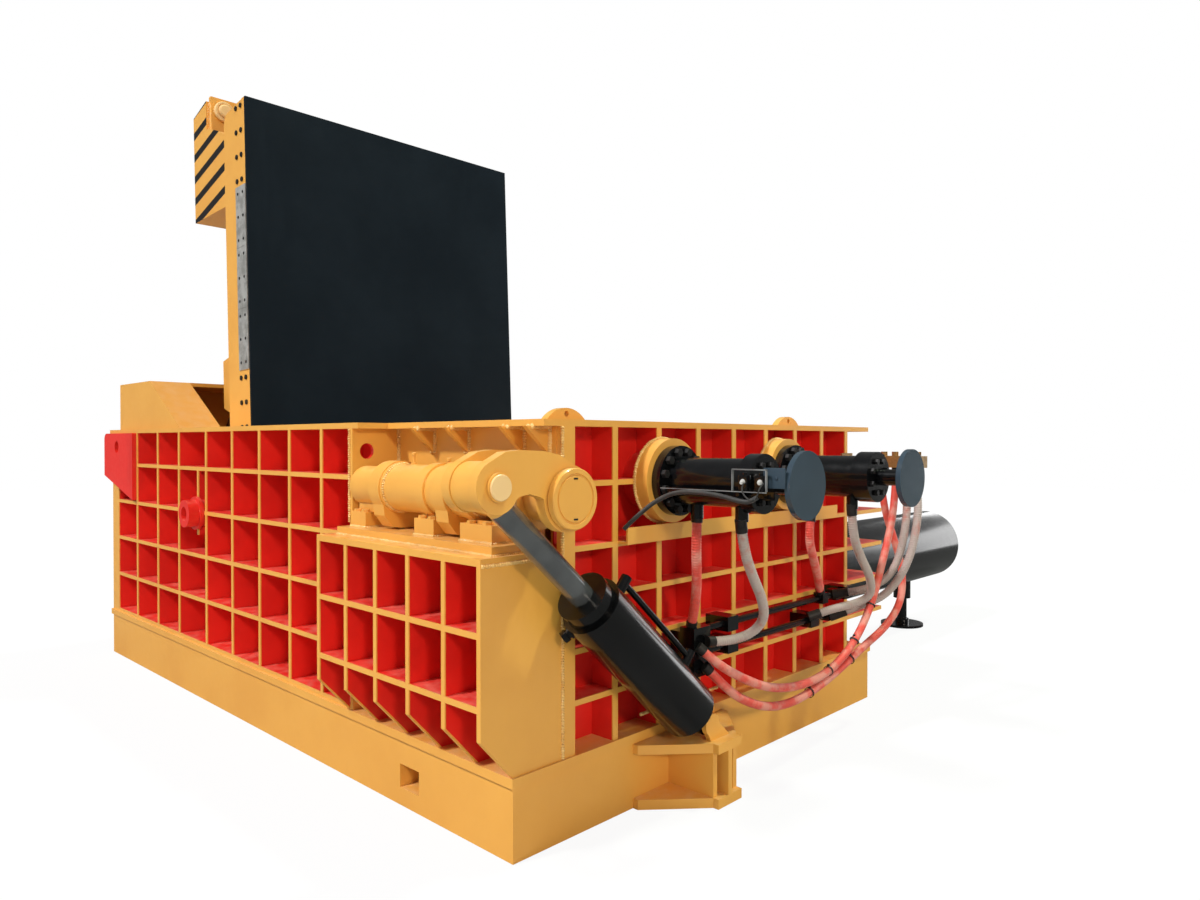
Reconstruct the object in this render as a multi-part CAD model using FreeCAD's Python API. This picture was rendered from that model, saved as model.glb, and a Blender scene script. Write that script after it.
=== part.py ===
import FreeCAD, Part

import math
import os

# Hydraulic scrap baler with a swinging lid, a side ram, a main ram and a turn-out flap.
# Millimetres.  Origin: centre of the base frame's underside.  +Z up.
# -Y is the long ribbed front side, +X is the end with the two lid locks, +Y is the side
# that carries the main cylinder, and -X is the end that carries the side cylinders.
# The model stands with its lid open, its rams back, its locks drawn and its flap down.

V = FreeCAD.Vector
X, Y, Z = V(1, 0, 0), V(0, 1, 0), V(0, 0, 1)

# ---------------------------------------------------------------- driving dimensions
# base frame
base_length = 4990.0
base_width = 3080.0
base_height = 350.0
base_flange = 41.0
base_flange_proud = 12.0
base_beam_depth = 260.0
base_plate = 22.0
base_bottom_flange = 25.0
base_cross_beams = 5
pocket_width = 154.0
pocket_height = 110.0
pocket_sill = 84.0
pocket_from_lock_end = 660.0
pocket_depth = 240.0
pocket_plate = 12.0

# body heights and plates
floor_plate = 30.0
row_pitch = 290.0
front_rows = 4
body_height = 1768.0
top_plate = 29.0
rib_plate = 25.0
post_plate = 34.0
skin_plate = 20.0
liner_plate = 30.0
body_start_inset = 121.0
front_bays = (437.0, 440.0, 410.0, 474.0, 408.0, 383.0, 382.0, 364.0, 333.0)

# charging chamber and press channel
chamber_near_inset = 290.0
chamber_far_inset = 467.0
channel_width = 846.0
lock_wall_depth = 153.0
seat_depth = 225.0
seat_drop = 98.0
seat_plate = 40.0
seat_webs = 6

# press-end boxes
box_proud = 163.0
box_bays = 5
box_bay = 259.0
box_taper_drop = 180.0
rear_box_proud = 201.0
rear_skin_inset = 304.0
shelf_plate = 30.0
shelf_drop = 553.0

# turn-out shaft bay
bay_top_setback = 170.0
bay_back_plate = 20.0
bay_back_drop = 183.0
bay_gusset_reach = 136.0
bay_gusset_drop = 124.0
bay_gusset_places = (300.0, 578.0, 977.0, 1141.0)
bay_hole_diameter = 80.0
bay_hole_inset = 82.0
bay_hole_drop = 114.0
side_plate_edge = 274.0
corner_post_width = 76.0

# lock-end wall
lock_posts = 8
end_ribs = 6
lock_first_post_inset = 606.0
lock_rows_low = 4
lock_row_pitch = 222.0
ledge_height = 76.0
ledge_depth = 60.0
ledge_plate = 10.0

# top plate and hood
top_overhang = 72.0
hood_length_low = 1282.0
hood_length_high = 682.0
hood_height = 362.0
hood_end_inset = 76.0
hood_cheek_width = 287.0
hood_side_inset = 34.0
hood_plate = 14.0
lug_plate = 30.0
lug_reach = 235.0
lug_corner_radius = 52.0
lug_drop_end = 338.0
lug_drop_inner = 512.0
lug_length = 672.0
lug_hole_diameter = 96.0
lug_hole_drop = 108.0
lug_hole_inset = 307.0
lifting_lug_length = 230.0
lifting_lug_height = 52.0
lifting_lug_plate = 40.0
lifting_lug_near = 64.0
lifting_lug_far = 440.0
lifting_hole_diameter = 26.0

# lid
lid_pivot_from_lock_end = 3230.0
lid_pivot_drop = 541.0
lid_lean = 2.3
lid_swing = 92.3
lid_length = 2841.0
lid_face_offset = 170.0
lid_back_offset = 187.0
lid_side_gap = 12.0
lid_liner = 20.0
lid_face_plate = 40.0
lid_edge_plate = 40.0
lid_rib_plate = 24.0
lid_ribs_along = 3
lid_ribs_across = 6
lid_hub_radius = 156.0
lid_tip_rake = 11.0
lid_tip_step = 36.0
lid_tip_chamfer = 92.0
lid_shaft_diameter = 130.0
lid_shaft_gap = 0.4
boss_diameter = 180.0
boss_proud = 90.0
boss_ring_diameter = 220.0
boss_ring = 22.0
boss_bore_diameter = 92.0
boss_bore_depth = 60.0
wear_strip = 6.0
wear_strip_width = 150.0
wear_strip_length = 423.0
wear_strips = 3
wear_strip_start = 969.0
wear_strip_gap = 2.0
lid_bolt_diameter = 34.0
lid_bolt_head = 7.0
lid_bolt_pitch = 171.0
lid_bolt_inset = 44.0

# landing box on the lid's back
landing_back = 734.0
landing_start = 2160.0
landing_wall_end = 2803.0
landing_top = 3018.0
landing_top_chamfer = 62.0
landing_plate_offset = 459.0
landing_plate = 36.0
landing_plate_inset = 22.0
landing_plate_end = 3050.0
landing_side_plate = 30.0
landing_skin = 22.0
landing_notch_depth = 70.0
landing_boss_diameter = 150.0
landing_boss = 12.0
landing_boss_place = 2950.0
landing_boss_inset = 112.0

# lid cylinders
lid_cylinder_inset = 271.0
lid_pin_along = 799.0
lid_pin_back = 510.0
lid_pin_diameter = 70.0
lid_ear_plate = 30.0
lid_ear_gap = 96.0
lid_ear_start = 560.0
lid_ear_end = 1230.0
lid_ear_shoulder = 1122.0
lid_ear_nose = 39.0
lid_ear_bend = 700.0
lid_ear_bend_reach = 560.0
lid_ear_reach = 725.0
lid_pin_proud = 10.0
lid_foot_inset = 124.0
lid_foot_drop = 818.0
lid_barrel_diameter = 150.0
lid_barrel_wall = 15.0
lid_rod_diameter = 90.0
lid_barrel_foot_gap = 50.0
lid_barrel_end = 1222.0
lid_gland_length = 60.0
lid_eye_diameter = 140.0
lid_eye_width = 80.0
lid_eye_overlap = 10.0
lid_piston_place = 1262.0
lid_piston_length = 60.0
lid_cap_length = 40.0
lid_foot_eye_diameter = 90.0
lid_foot_pin_diameter = 60.0
lid_foot_pin_length = 112.0
foot_ear_gap = 120.0
foot_ear_plate = 25.0
foot_ear_half_width = 45.0
foot_ear_base_half_width = 140.0
foot_base_plate = 25.0
pin_gap = 0.3

# side ram and its cylinders
ram_gap = 10.0
ram_floor_gap = 5.0
ram_top = 1037.0
side_ram_length = 544.0
side_ram_stroke = 1785.0
ram_face_plate = 80.0
ram_skin = 40.0
side_cylinder_spacing = 1000.0
side_cylinder_height = 714.0
side_barrel_diameter = 273.0
side_barrel_wall = 26.0
side_barrel_length = 2090.0
side_rod_diameter = 140.0
side_gland_length = 80.0
side_cap_length = 50.0
side_piston_length = 120.0
side_barrel_front_gap = 64.0
side_flange_diameter = 390.0
side_flange = 45.0
side_ram_from_lock_end = 3111.0
side_ram_web = 240.0
side_end_gap = 6.0
side_flange_bolts = 16
side_flange_bolt_diameter = 36.0
side_flange_bolt_height = 22.0

# main ram and its cylinder
main_ram_length = 385.0
main_ram_stroke = 1538.0
main_ram_face_plate = 80.0
main_cylinder_height = 714.0
main_barrel_diameter = 620.0
main_barrel_wall = 60.0
main_barrel_end = 4410.0
main_rod_diameter = 360.0
main_flange_diameter = 760.0
main_flange = 55.0
main_mount_plate = 60.0
main_gland_length = 120.0
main_cap_length = 70.0
main_piston_length = 160.0
main_end_gap = 6.0
main_flange_bolts = 24
main_flange_bolt_diameter = 46.0
main_flange_bolt_height = 28.0
piston_gap = 0.5
rod_gap = 0.3

# jack under the main cylinder
jack_place = 3866.0
jack_foot_diameter = 372.0
jack_foot = 22.0
jack_stem_diameter = 84.0
jack_head_diameter = 150.0
jack_head_length = 150.0
jack_collar_diameter = 118.0
jack_travel = 60.0
jack_gap = 0.4
jack_collar = 40.0
jack_saddle = 40.0
jack_bore_end = 10.0
jack_end_gap = 6.0

# lid lock cylinders
lock_drop = 250.0
lock_near_inset = 935.0
lock_spacing = 1027.0
lock_bolt_diameter = 190.0
lock_bolt_gap = 0.5
lock_bolt_recess = 23.0
lock_stroke = 140.0
lock_ring_diameter = 398.0
lock_ring = 75.0
lock_flange_diameter = 330.0
lock_flange = 45.0
lock_barrel_diameter = 219.0
lock_barrel_wall = 19.0
lock_barrel_length = 393.0
lock_cap_diameter = 262.0
lock_cap_near = 65.0
lock_cap_far = 92.0
lock_rod_diameter = 84.0
lock_disc_diameter = 292.0
lock_disc = 25.0
lock_disc_place = 762.0
lock_piston_length = 60.0
lock_flange_bolts = 12
lock_flange_bolt_diameter = 36.0
lock_cap_bolts = 8
lock_cap_bolt_diameter = 27.0
lock_flange_bolt_height = 22.0
lock_cap_bolt_height = 16.0
lock_front_plate = 45.0
lock_bolt_end_gap = 15.0
lock_piston_place = 425.0
port_places = (91.0, 339.0)
rail_gap = 21.0
rail_drop = 56.0
rail_width = 34.0
rail_plate = 5.0
rail_end_gap = 40.0
rail_foot = 30.0
switch_places = (464.0, 578.0)
switch_diameter = 18.0
switch_length = 52.0
port_diameter = 60.0
port_length = 62.0

# turn-out shaft, crank and flap
shaft_from_front = 68.0
shaft_drop = 286.0
shaft_diameter = 197.0
sleeve_diameter = 226.0
collar_diameter = 246.0
shaft_cap_diameter = 238.0
shaft_cap = 22.0
shaft_end = 263.0
shaft_start = 28.0
collar_places = (240.0, 626.0, 922.0)
collar_lengths = (115.0, 62.0, 56.0)
crank_plate = 48.0
crank_spacing = 158.0
crank_plane = 153.0
crank_arm_back = 352.0
crank_arm_rise = 56.0
crank_hub_diameter = 262.0
crank_edge_top = ((1.14, 85.0), (0.96, 130.0), (0.77, 148.0), (0.43, 162.0), (0.21, 159.0),
                  (-0.05, 127.0))
crank_edge_bottom = ((0.25, -46.0), (0.35, -19.0), (0.42, -11.0), (0.57, -5.0), (0.70, -21.0),
                     (0.80, -47.0))
crank_eye_diameter = 196.0
crank_pin_diameter = 92.0
crank_pin_head = 14.0
crank_pin_head_diameter = 108.0
turnout_swing = 50.0
turnout_rod_diameter = 104.0
turnout_barrel_diameter = 273.0
turnout_barrel_wall = 26.0
turnout_rod_eye_diameter = 186.0
turnout_rod_eye_width = 106.0
turnout_gland_diameter = 232.0
turnout_gland_length = 70.0
turnout_barrel_start = 770.0
turnout_foot_gap = 109.0
turnout_cap_length = 60.0
turnout_piston_length = 80.0
turnout_piston_place = 76.0
turnout_eye_overlap = 12.0
feed_pipe_diameter = 30.0
feed_pipe_rise = 187.0
feed_pipe_start = 850.0
feed_pipe_end_inset = 140.0
feed_block = 50.0
turnout_eye_diameter = 110.0
turnout_eye_width = 90.0
turnout_eye_y = 1020.0
turnout_eye_height = 372.0
foot_pin_diameter = 50.0
foot_pin_length = 118.0
flap_plate = 60.0
flap_top_gap = 24.0
flap_leg_plate = 68.0
flap_reach = 752.0
flap_gap = 5.0
flap_arm_plate = 90.0
flap_arm_places = (250.0, 757.0)
flap_arm_lap = 60.0
flap_hub_wall = 6.0
flap_arm_half_width = 52.0
flap_arm_front = ((-113.0, 0.0), (-95.0, -130.0), (-50.0, -185.0))
bearing_pad = 38.0
bearing_pad_setback = 79.0
bearing_pad_end_gap = 29.0
pillow_lengths = (135.0, 148.0, 212.0)
pillow_width = 247.0
pillow_height = 76.0
pillow_places = (43.0, 593.0, 933.0)
pillow_bolt_diameter = 34.0
pillow_bolt_height = 12.0
pillow_bolt_inset = 20.0
pillow_bolt_places = (0.25, 0.75)
pillow_rear_rise = 92.0
pillow_rear_start = 60.0
pillow_rear_bolt_inset = 42.0
pillow_step = 46.0
bearing_gap = 0.4

# base bracket under the turn-out cylinder
bracket_place = 986.0
bracket_width = 187.0
bracket_reach = 298.0
bracket_top = 299.0
bracket_top_plate = 44.0
bracket_bottom_plate = 46.0
bracket_wing = 260.0
bracket_plate = 30.0
bracket_ear_plate = 26.0
bracket_ear_inset = 20.0
bracket_ear_radius = 52.0
bracket_ear_gap = 122.0

# pipes and hoses
pipe_diameter = 36.0
pipe_offset = 102.0
upper_pipe_height = 786.0
lower_pipe_height = 676.0
upper_pipe_ends = (1060.0, 2630.0)
lower_pipe_ends = (1060.0, 2570.0)
clamp_length = 90.0
clamp_height = 74.0
clamp_places = (1286.0, 2500.0, 1286.0, 2100.0)
tee_size = 62.0
tee_places = (2275.0, 2430.0, 2125.0, 2345.0)
port_block_place = 1000.0
port_block_width = 130.0
port_block_half = 43.0
port_block_bottom = 575.0
port_block_lip = 24.0
manifold_rear_inset = 370.0
manifold_width = 110.0
manifold_start = 225.0
manifold_end = 505.0
manifold_drop = 223.0
manifold_depth = 70.0
manifold_arm = 14.0
manifold_plugs = 4
manifold_plug_diameter = 40.0
manifold_plug_length = 26.0
hose_diameter = 44.0
fitting_diameter = 54.0
fitting_length = 70.0
cable_diameter = 22.0

# ---------------------------------------------------------------- derived places
left = -base_length / 2
right = base_length / 2
front = -base_width / 2
rear = base_width / 2
body_left = left + body_start_inset
top = body_height + top_plate
chamber_near = front + chamber_near_inset
chamber_far = rear - chamber_far_inset
chamber_width = chamber_far - chamber_near
chamber_middle = (chamber_near + chamber_far) / 2
wall_inside = right - lock_wall_depth
seat_face = wall_inside - seat_depth
channel_left = seat_face - channel_width
channel_middle = (seat_face + channel_left) / 2
floor_top = base_height + floor_plate
bay_left = body_left + sum(front_bays)
box_front = front - box_proud
box_left = right - box_bays * box_bay
pivot_x = right - lid_pivot_from_lock_end
pivot_z = body_height - lid_pivot_drop
lid_near = chamber_near + lid_side_gap
lid_far = chamber_far - lid_side_gap
shaft_y = front + shaft_from_front
shaft_height = body_height - shaft_drop
lock_height = body_height - lock_drop
shelf_height = body_height - shelf_drop
shelf_top = shelf_height + shelf_plate
pad_top = shelf_top + bearing_pad
seat_top = body_height - seat_drop
flap_face = chamber_near - 2.0
box_back = flap_face - flap_leg_plate - flap_gap
rear_box_end = rear + rear_box_proud
lock_post_pitch = (base_width - rear_skin_inset - lock_first_post_inset) / (lock_posts - 1)
lock_posts_y = [rear - rear_skin_inset - lock_post_pitch * n for n in range(lock_posts)]
rear_skin = lock_posts_y[0] + post_plate / 2


# ---------------------------------------------------------------- solid helpers
def block(x0, x1, y0, y1, z0, z1):
    return Part.makeBox(x1 - x0, y1 - y0, z1 - z0, V(x0, y0, z0))


def rod(start, direction, length, diameter):
    return Part.makeCylinder(diameter / 2, length, start, direction)


def tube(start, direction, length, outer, inner):
    reach = 1.0
    bore = rod(start - direction * reach, direction, length + 2 * reach, inner)
    return rod(start, direction, length, outer).cut(bore)


def plate(points, origin, u_axis, v_axis, thickness):
    """A flat plate with a polygon outline in the u-v plane, thickened along u x v."""
    corners = [origin + u_axis * u + v_axis * v for u, v in points]
    face = Part.Face(Part.makePolygon(corners + corners[:1]))
    return face.extrude(u_axis.cross(v_axis) * thickness)


def plate_xz(points, y0, y1):
    return plate(points, V(0, y1, 0), X, Z, y1 - y0)


def plate_yz(points, x0, x1):
    return plate(points, V(x0, 0, 0), Y, Z, x1 - x0)


def plate_xy(points, z0, z1):
    return plate(points, V(0, 0, z0), X, Y, z1 - z0)


def join(pieces):
    pieces = list(pieces)
    solid = pieces[0] if len(pieces) == 1 else pieces[0].multiFuse(pieces[1:])
    return solid.removeSplitter()


def group(pieces):
    return Part.makeCompound(list(pieces))


def mirror_y(shape, plane_y):
    return shape.mirror(V(0, plane_y, 0), Y)


def bolt_ring(centre, axis, circle, count, diameter, height, start=0.0):
    """Hexagon heads standing on a face, evenly spaced on a circle."""
    side = axis.cross(Z)
    up = side.cross(axis)
    heads = []
    for n in range(count):
        angle = math.radians(start + 360.0 * n / count)
        at = centre + side * (circle / 2 * math.cos(angle)) + up * (circle / 2 * math.sin(angle))
        heads.append(hex_head(at, axis, diameter, height))
    return heads


def hex_head(at, axis, across, height):
    side = axis.cross(Z) if abs(axis.dot(Z)) < 0.9 else X
    up = axis.cross(side)
    radius = across / math.sqrt(3)
    ring = [at + side * (radius * math.cos(math.radians(60 * n)))
            + up * (radius * math.sin(math.radians(60 * n))) for n in range(6)]
    return Part.Face(Part.makePolygon(ring + ring[:1])).extrude(axis * height)


built = {}


def export(name, shape):
    os.makedirs("parts", exist_ok=True)
    built[name] = shape
    shape.exportStep("parts/" + name + ".step")


# ---------------------------------------------------------------- shared walls
def front_posts():
    """Left faces of the front wall's upright ribs, from the far end to the shaft bay."""
    places = [body_left]
    for bay in front_bays:
        places.append(places[-1] + bay)
    return places[:-1] + [bay_left - rib_plate]


def front_rows_z():
    first = base_height + rib_plate / 2
    return [first + row_pitch * n for n in range(front_rows + 1)]


def lock_rows_z():
    low = [base_height + lock_row_pitch * n for n in range(1, lock_rows_low + 1)]
    return low + [lock_height]


def lid_locks_y():
    near = front + lock_near_inset
    return [near, near + lock_spacing]


def side_cylinders_y():
    return [chamber_middle - side_cylinder_spacing / 2, chamber_middle + side_cylinder_spacing / 2]


def boss_holes(extra=0.0):
    """Where the lid's pivot bosses pass through the walls."""
    reach = base_width * 2
    return rod(V(pivot_x, -reach, pivot_z), Y, 2 * reach, boss_diameter + extra)


# ---------------------------------------------------------------- base frame
def base_frame():
    web_top = base_height - base_flange
    outside = block(left, right, front, rear, 0, web_top)
    hollow = block(left + base_plate, right - base_plate, front + base_plate,
                   rear - base_plate, -1, web_top + 1)
    pieces = [outside.cut(hollow)]
    pieces.append(ring_plate(base_flange_proud, base_beam_depth, web_top, base_height))
    pieces.append(ring_plate(0, base_beam_depth, 0, base_bottom_flange))
    bay = base_length / (base_cross_beams + 1)
    half_flange = base_beam_depth / 2 - base_plate
    for n in range(1, base_cross_beams + 1):
        x = left + bay * n
        pieces.append(block(x - base_plate / 2, x + base_plate / 2, front, rear, 0, web_top))
        for z0, z1 in ((0, base_bottom_flange), (web_top, base_height)):
            pieces.append(block(x - half_flange, x + half_flange, front, rear, z0, z1))
    frame = join(pieces)
    x1 = right - pocket_from_lock_end
    x0 = x1 - pocket_width
    y0 = front + pocket_depth
    z1 = pocket_sill + pocket_height
    sleeve = block(x0 - pocket_plate, x1 + pocket_plate, front, y0,
                   pocket_sill - pocket_plate, z1 + pocket_plate)
    return frame.fuse(sleeve).cut(block(x0, x1, front - 1, y0 + 1, pocket_sill, z1)).removeSplitter()


def ring_plate(proud, depth, z0, z1):
    outer = block(left - proud, right + proud, front - proud, rear + proud, z0, z1)
    inner = block(left + depth, right - depth, front + depth, rear - depth, z0 - 1, z1 + 1)
    return outer.cut(inner)


# ---------------------------------------------------------------- front wall
def front_wall():
    skin_back = chamber_near - liner_plate
    skin = block(body_left, bay_left - rib_plate, skin_back - skin_plate, skin_back,
                 base_height, body_height)
    pieces = [skin]
    for x in front_posts():
        deep = chamber_near if x > bay_left - 2 * rib_plate else skin_back
        pieces.append(block(x, x + rib_plate, front, deep, base_height, body_height))
    for z in front_rows_z():
        pieces.append(block(body_left, bay_left, front, skin_back - skin_plate / 2,
                            z - rib_plate / 2, z + rib_plate / 2))
    stub = block(pivot_x - rib_plate / 2, pivot_x + rib_plate / 2, front, skin_back - 1,
                 pivot_z - row_pitch / 2, pivot_z + row_pitch)
    pieces.append(stub)
    wall = join(pieces)
    hole_at = V(bay_left - 2 * rib_plate, front + bay_hole_inset, body_height - bay_hole_drop)
    hole = rod(hole_at, X, 3 * rib_plate, bay_hole_diameter)
    return wall.cut(boss_holes()).cut(hole).removeSplitter()


def near_liner():
    sheet = block(body_left + rib_plate, bay_left - rib_plate, chamber_near - liner_plate,
                  chamber_near, base_height, body_height)
    return sheet.cut(boss_holes())


def far_liner():
    sheet = block(body_left + rib_plate, wall_inside, chamber_far, chamber_far + liner_plate,
                  base_height, body_height)
    mouth = block(channel_left, seat_face, chamber_far - 1, chamber_far + liner_plate + 1,
                  base_height - 1, ram_top + ram_gap)
    return sheet.cut(mouth).cut(boss_holes())


# ---------------------------------------------------------------- press-end box at the front
def box_outline(back):
    taper = base_height + box_taper_drop
    return [(box_front, shelf_height), (box_front, taper), (front, base_height),
            (back, base_height), (back, shelf_height)]


def bearing_box():
    taper = base_height + box_taper_drop
    proud = [(box_front, shelf_height), (box_front, taper), (front, base_height),
             (front, shelf_height)]
    pieces = [plate_yz(proud, box_left, box_left + rib_plate)]
    for n in range(1, box_bays):
        x = box_left + box_bay * n
        back = box_back if x > bay_left else front
        pieces.append(plate_yz(box_outline(back), x, x + rib_plate))
    side_edge = front + side_plate_edge
    pieces.append(plate_yz(box_outline(side_edge), right - rib_plate, right))
    pieces.append(block(bay_left, right - rib_plate, box_back - skin_plate, box_back,
                        base_height, shelf_height))
    for z in front_rows_z()[1:front_rows - 1]:
        z0, z1 = z - rib_plate / 2, z + rib_plate / 2
        pieces.append(block(box_left, right, box_front, front, z0, z1))
        pieces.append(block(bay_left, right, front, box_back - skin_plate / 2, z0, z1))
    pieces.append(block(box_left, right, box_front, front, shelf_height, shelf_top))
    pieces.append(block(bay_left, right, front, box_back, shelf_height, shelf_top))
    pieces.append(block(bay_left, right - bearing_pad_end_gap, box_front + bearing_pad_setback,
                        box_back, shelf_top, pad_top))
    return join(pieces)


# ---------------------------------------------------------------- bay over the shelf
def shaft_bay():
    """The plate behind the turn-out shaft, its gussets and the post at the corner."""
    back = block(bay_left, right - post_plate, chamber_near - bay_back_plate, chamber_near,
                 body_height - bay_back_drop, body_height)
    pieces = [back]
    face = chamber_near - bay_back_plate
    for place in bay_gusset_places:
        x = bay_left + place
        outline = [(face, body_height), (face, body_height - bay_gusset_drop),
                   (face - bay_gusset_reach, body_height)]
        pieces.append(plate_yz(outline, x, x + rib_plate))
    post_y = front + side_plate_edge
    pieces.append(block(right - post_plate, right, post_y, post_y + corner_post_width,
                        base_height, body_height))
    return join(pieces)


# ---------------------------------------------------------------- wall with the lid locks
def lock_wall():
    y0 = front + side_plate_edge + corner_post_width
    y1 = lock_posts_y[0] + post_plate / 2
    pieces = [block(wall_inside, wall_inside + skin_plate, y0, y1, base_height, body_height)]
    for y in lock_posts_y:
        pieces.append(block(wall_inside, right, y - post_plate / 2, y + post_plate / 2,
                            base_height, body_height))
    for z in lock_rows_z():
        pieces.append(block(wall_inside, right, y0, y1, z - rib_plate / 2, z + rib_plate / 2))
    sleeve = lock_bolt_diameter + 2 * seat_plate
    for y in lid_locks_y():
        pieces.append(rod(V(wall_inside, y, lock_height), X, lock_wall_depth, sleeve))
    return cut_lock_bores(join(pieces))


def lid_seat():
    """The thick inner wall that takes the lid's landing plate and guides the lock bolts."""
    pieces = [block(seat_face, seat_face + seat_plate, chamber_near, chamber_far,
                    floor_top, seat_top)]
    pieces.append(block(seat_face, wall_inside, chamber_near, chamber_far,
                        seat_top - seat_plate, seat_top))
    pitch = (chamber_width - rib_plate) / (seat_webs - 1)
    for n in range(seat_webs):
        y = chamber_near + pitch * n
        pieces.append(block(seat_face, wall_inside, y, y + rib_plate, floor_top, seat_top))
    sleeve = lock_bolt_diameter + 2 * seat_plate
    for y in lid_locks_y():
        pieces.append(rod(V(seat_face, y, lock_height), X, seat_depth, sleeve))
    return cut_lock_bores(join(pieces))


def cut_lock_bores(wall):
    for y in lid_locks_y():
        wall = wall.cut(rod(V(seat_face - 1, y, lock_height), X, lock_wall_depth + seat_depth + 2,
                            lock_bolt_diameter + 2 * lock_bolt_gap))
    return wall.removeSplitter()


def cable_ledge():
    """Channel section along the wall, open upwards, under the lock cylinders."""
    z0 = base_height + lock_row_pitch * lock_rows_low
    y0, y1 = lock_posts_y[-1] + post_plate / 2, lock_posts_y[0] - lock_post_pitch * 0.73
    outline = [(right, z0), (right + ledge_depth, z0), (right + ledge_depth, z0 + ledge_height),
               (right + ledge_depth - ledge_plate, z0 + ledge_height),
               (right + ledge_depth - ledge_plate, z0 + ledge_plate),
               (right, z0 + ledge_plate)]
    return plate_xz(outline, y0, y1)


# ---------------------------------------------------------------- rear and end walls
def rear_wall():
    """Ribbed rear side, with the deep plates of the press end round the main ram's tunnel."""
    skin_y = rear_skin
    pieces = [block(body_left, wall_inside, skin_y, skin_y + skin_plate, base_height, body_height)]
    for x in front_posts():
        if x < box_left - rib_plate:
            pieces.append(block(x, x + rib_plate, skin_y, rear, base_height, body_height))
    for z in front_rows_z():
        pieces.append(block(body_left, box_left, skin_y, rear, z - rib_plate / 2, z + rib_plate / 2))
    mount_front = rear_box_end - main_mount_plate
    for z in lock_rows_z():
        pieces.append(block(box_left, right, skin_y, rear_box_end, z - rib_plate / 2,
                            z + rib_plate / 2))
    for x in (box_left, channel_left - rib_plate - ram_gap, seat_face + ram_gap):
        pieces.append(block(x, x + rib_plate, skin_y, rear_box_end, base_height, body_height))
    pieces.append(block(box_left, seat_face + ram_gap, mount_front, rear_box_end, base_height,
                        lock_height))
    wall = join(pieces)
    tunnel = block(channel_left - ram_gap, seat_face + ram_gap, skin_y - 1, mount_front,
                   base_height - 1, ram_top + ram_gap)
    rod_bore = rod(V(channel_middle, mount_front - 1, main_cylinder_height), Y,
                   main_mount_plate + 2, main_rod_diameter + 2 * ram_gap)
    return wall.cut(tunnel).cut(rod_bore).cut(boss_holes()).removeSplitter()


def end_wall():
    """Ribbed wall at the side cylinders, with a thick ring round each cylinder."""
    pieces = [block(body_left, body_left + rib_plate, chamber_near - liner_plate, rear_skin,
                    base_height, body_height)]
    pitch = (base_width - rib_plate) / (end_ribs - 1)
    for n in range(end_ribs):
        y = front + pitch * n
        pieces.append(block(left, body_left, y, y + rib_plate, base_height, body_height))
    for z in front_rows_z():
        pieces.append(block(left, body_left, front, rear, z - rib_plate / 2, z + rib_plate / 2))
    for y in side_cylinders_y():
        pieces.append(rod(V(left, y, side_cylinder_height), X, body_start_inset,
                          side_flange_diameter))
    wall = pieces[0].multiFuse(pieces[1:])
    for y in side_cylinders_y():
        wall = wall.cut(rod(V(left - 1, y, side_cylinder_height), X,
                            body_start_inset + rib_plate + 2, side_barrel_diameter + 2 * rod_gap))
    return wall.removeSplitter()


def chamber_floor():
    sheet = block(body_left + rib_plate, wall_inside, chamber_near, chamber_far,
                  base_height, floor_top)
    tongue = block(channel_left, seat_face, chamber_far, rear_box_end - main_mount_plate,
                   base_height, floor_top)
    return join([sheet, tongue])


# ---------------------------------------------------------------- top plate and hood
def hood_start():
    return left + hood_end_inset


def top_sheet():
    x0, x1 = left - top_overhang, right
    step_x = bay_left + 2 * rib_plate
    outline = [(x0, front), (step_x, front), (step_x, front + bay_top_setback),
               (x1, front + bay_top_setback), (x1, rear), (x0, rear)]
    sheet = plate_xy(outline, body_height, top)
    opening = block(hood_start() + hood_length_high, wall_inside, chamber_near, chamber_far,
                    body_height - 1, top + 1)
    return sheet.cut(opening)


def lifting_lugs():
    """Low rounded lugs with a hole, standing on the top plate beside the opening."""
    lugs = []
    x = wall_inside + (lock_wall_depth - lifting_lug_plate) / 2
    half = lifting_lug_length / 2
    height = lifting_lug_height
    radius = (half * half + height * height) / (2 * height)
    for y in (chamber_near + lifting_lug_near, chamber_far - lifting_lug_far):
        disc = rod(V(x, y, top + height - radius), X, lifting_lug_plate, 2 * radius)
        lug = disc.common(block(x, x + lifting_lug_plate, y - half, y + half, top, top + height))
        hole = rod(V(x - 1, y, top + height / 2), X, lifting_lug_plate + 2, lifting_hole_diameter)
        lugs.append(lug.cut(hole))
    return group(lugs)


def lug_plate_at_end():
    x0 = body_left - lug_reach
    outline = [(x0, body_height), (x0, body_height - lug_drop_end),
               (x0 + lug_length, body_height - lug_drop_inner), (x0 + lug_length, body_height)]
    cheek = plate_xz(outline, front - lug_plate, front)
    corner = [edge for edge in cheek.Edges
              if edge.BoundBox.XMax < x0 + 1 and edge.BoundBox.ZMin > body_height - 1]
    cheek = cheek.makeFillet(lug_corner_radius, corner)
    hole = rod(V(x0 + lug_hole_inset, front - 2 * lug_plate, body_height - lug_hole_drop), Y,
               3 * lug_plate, lug_hole_diameter)
    return cheek.cut(hole)


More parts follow.
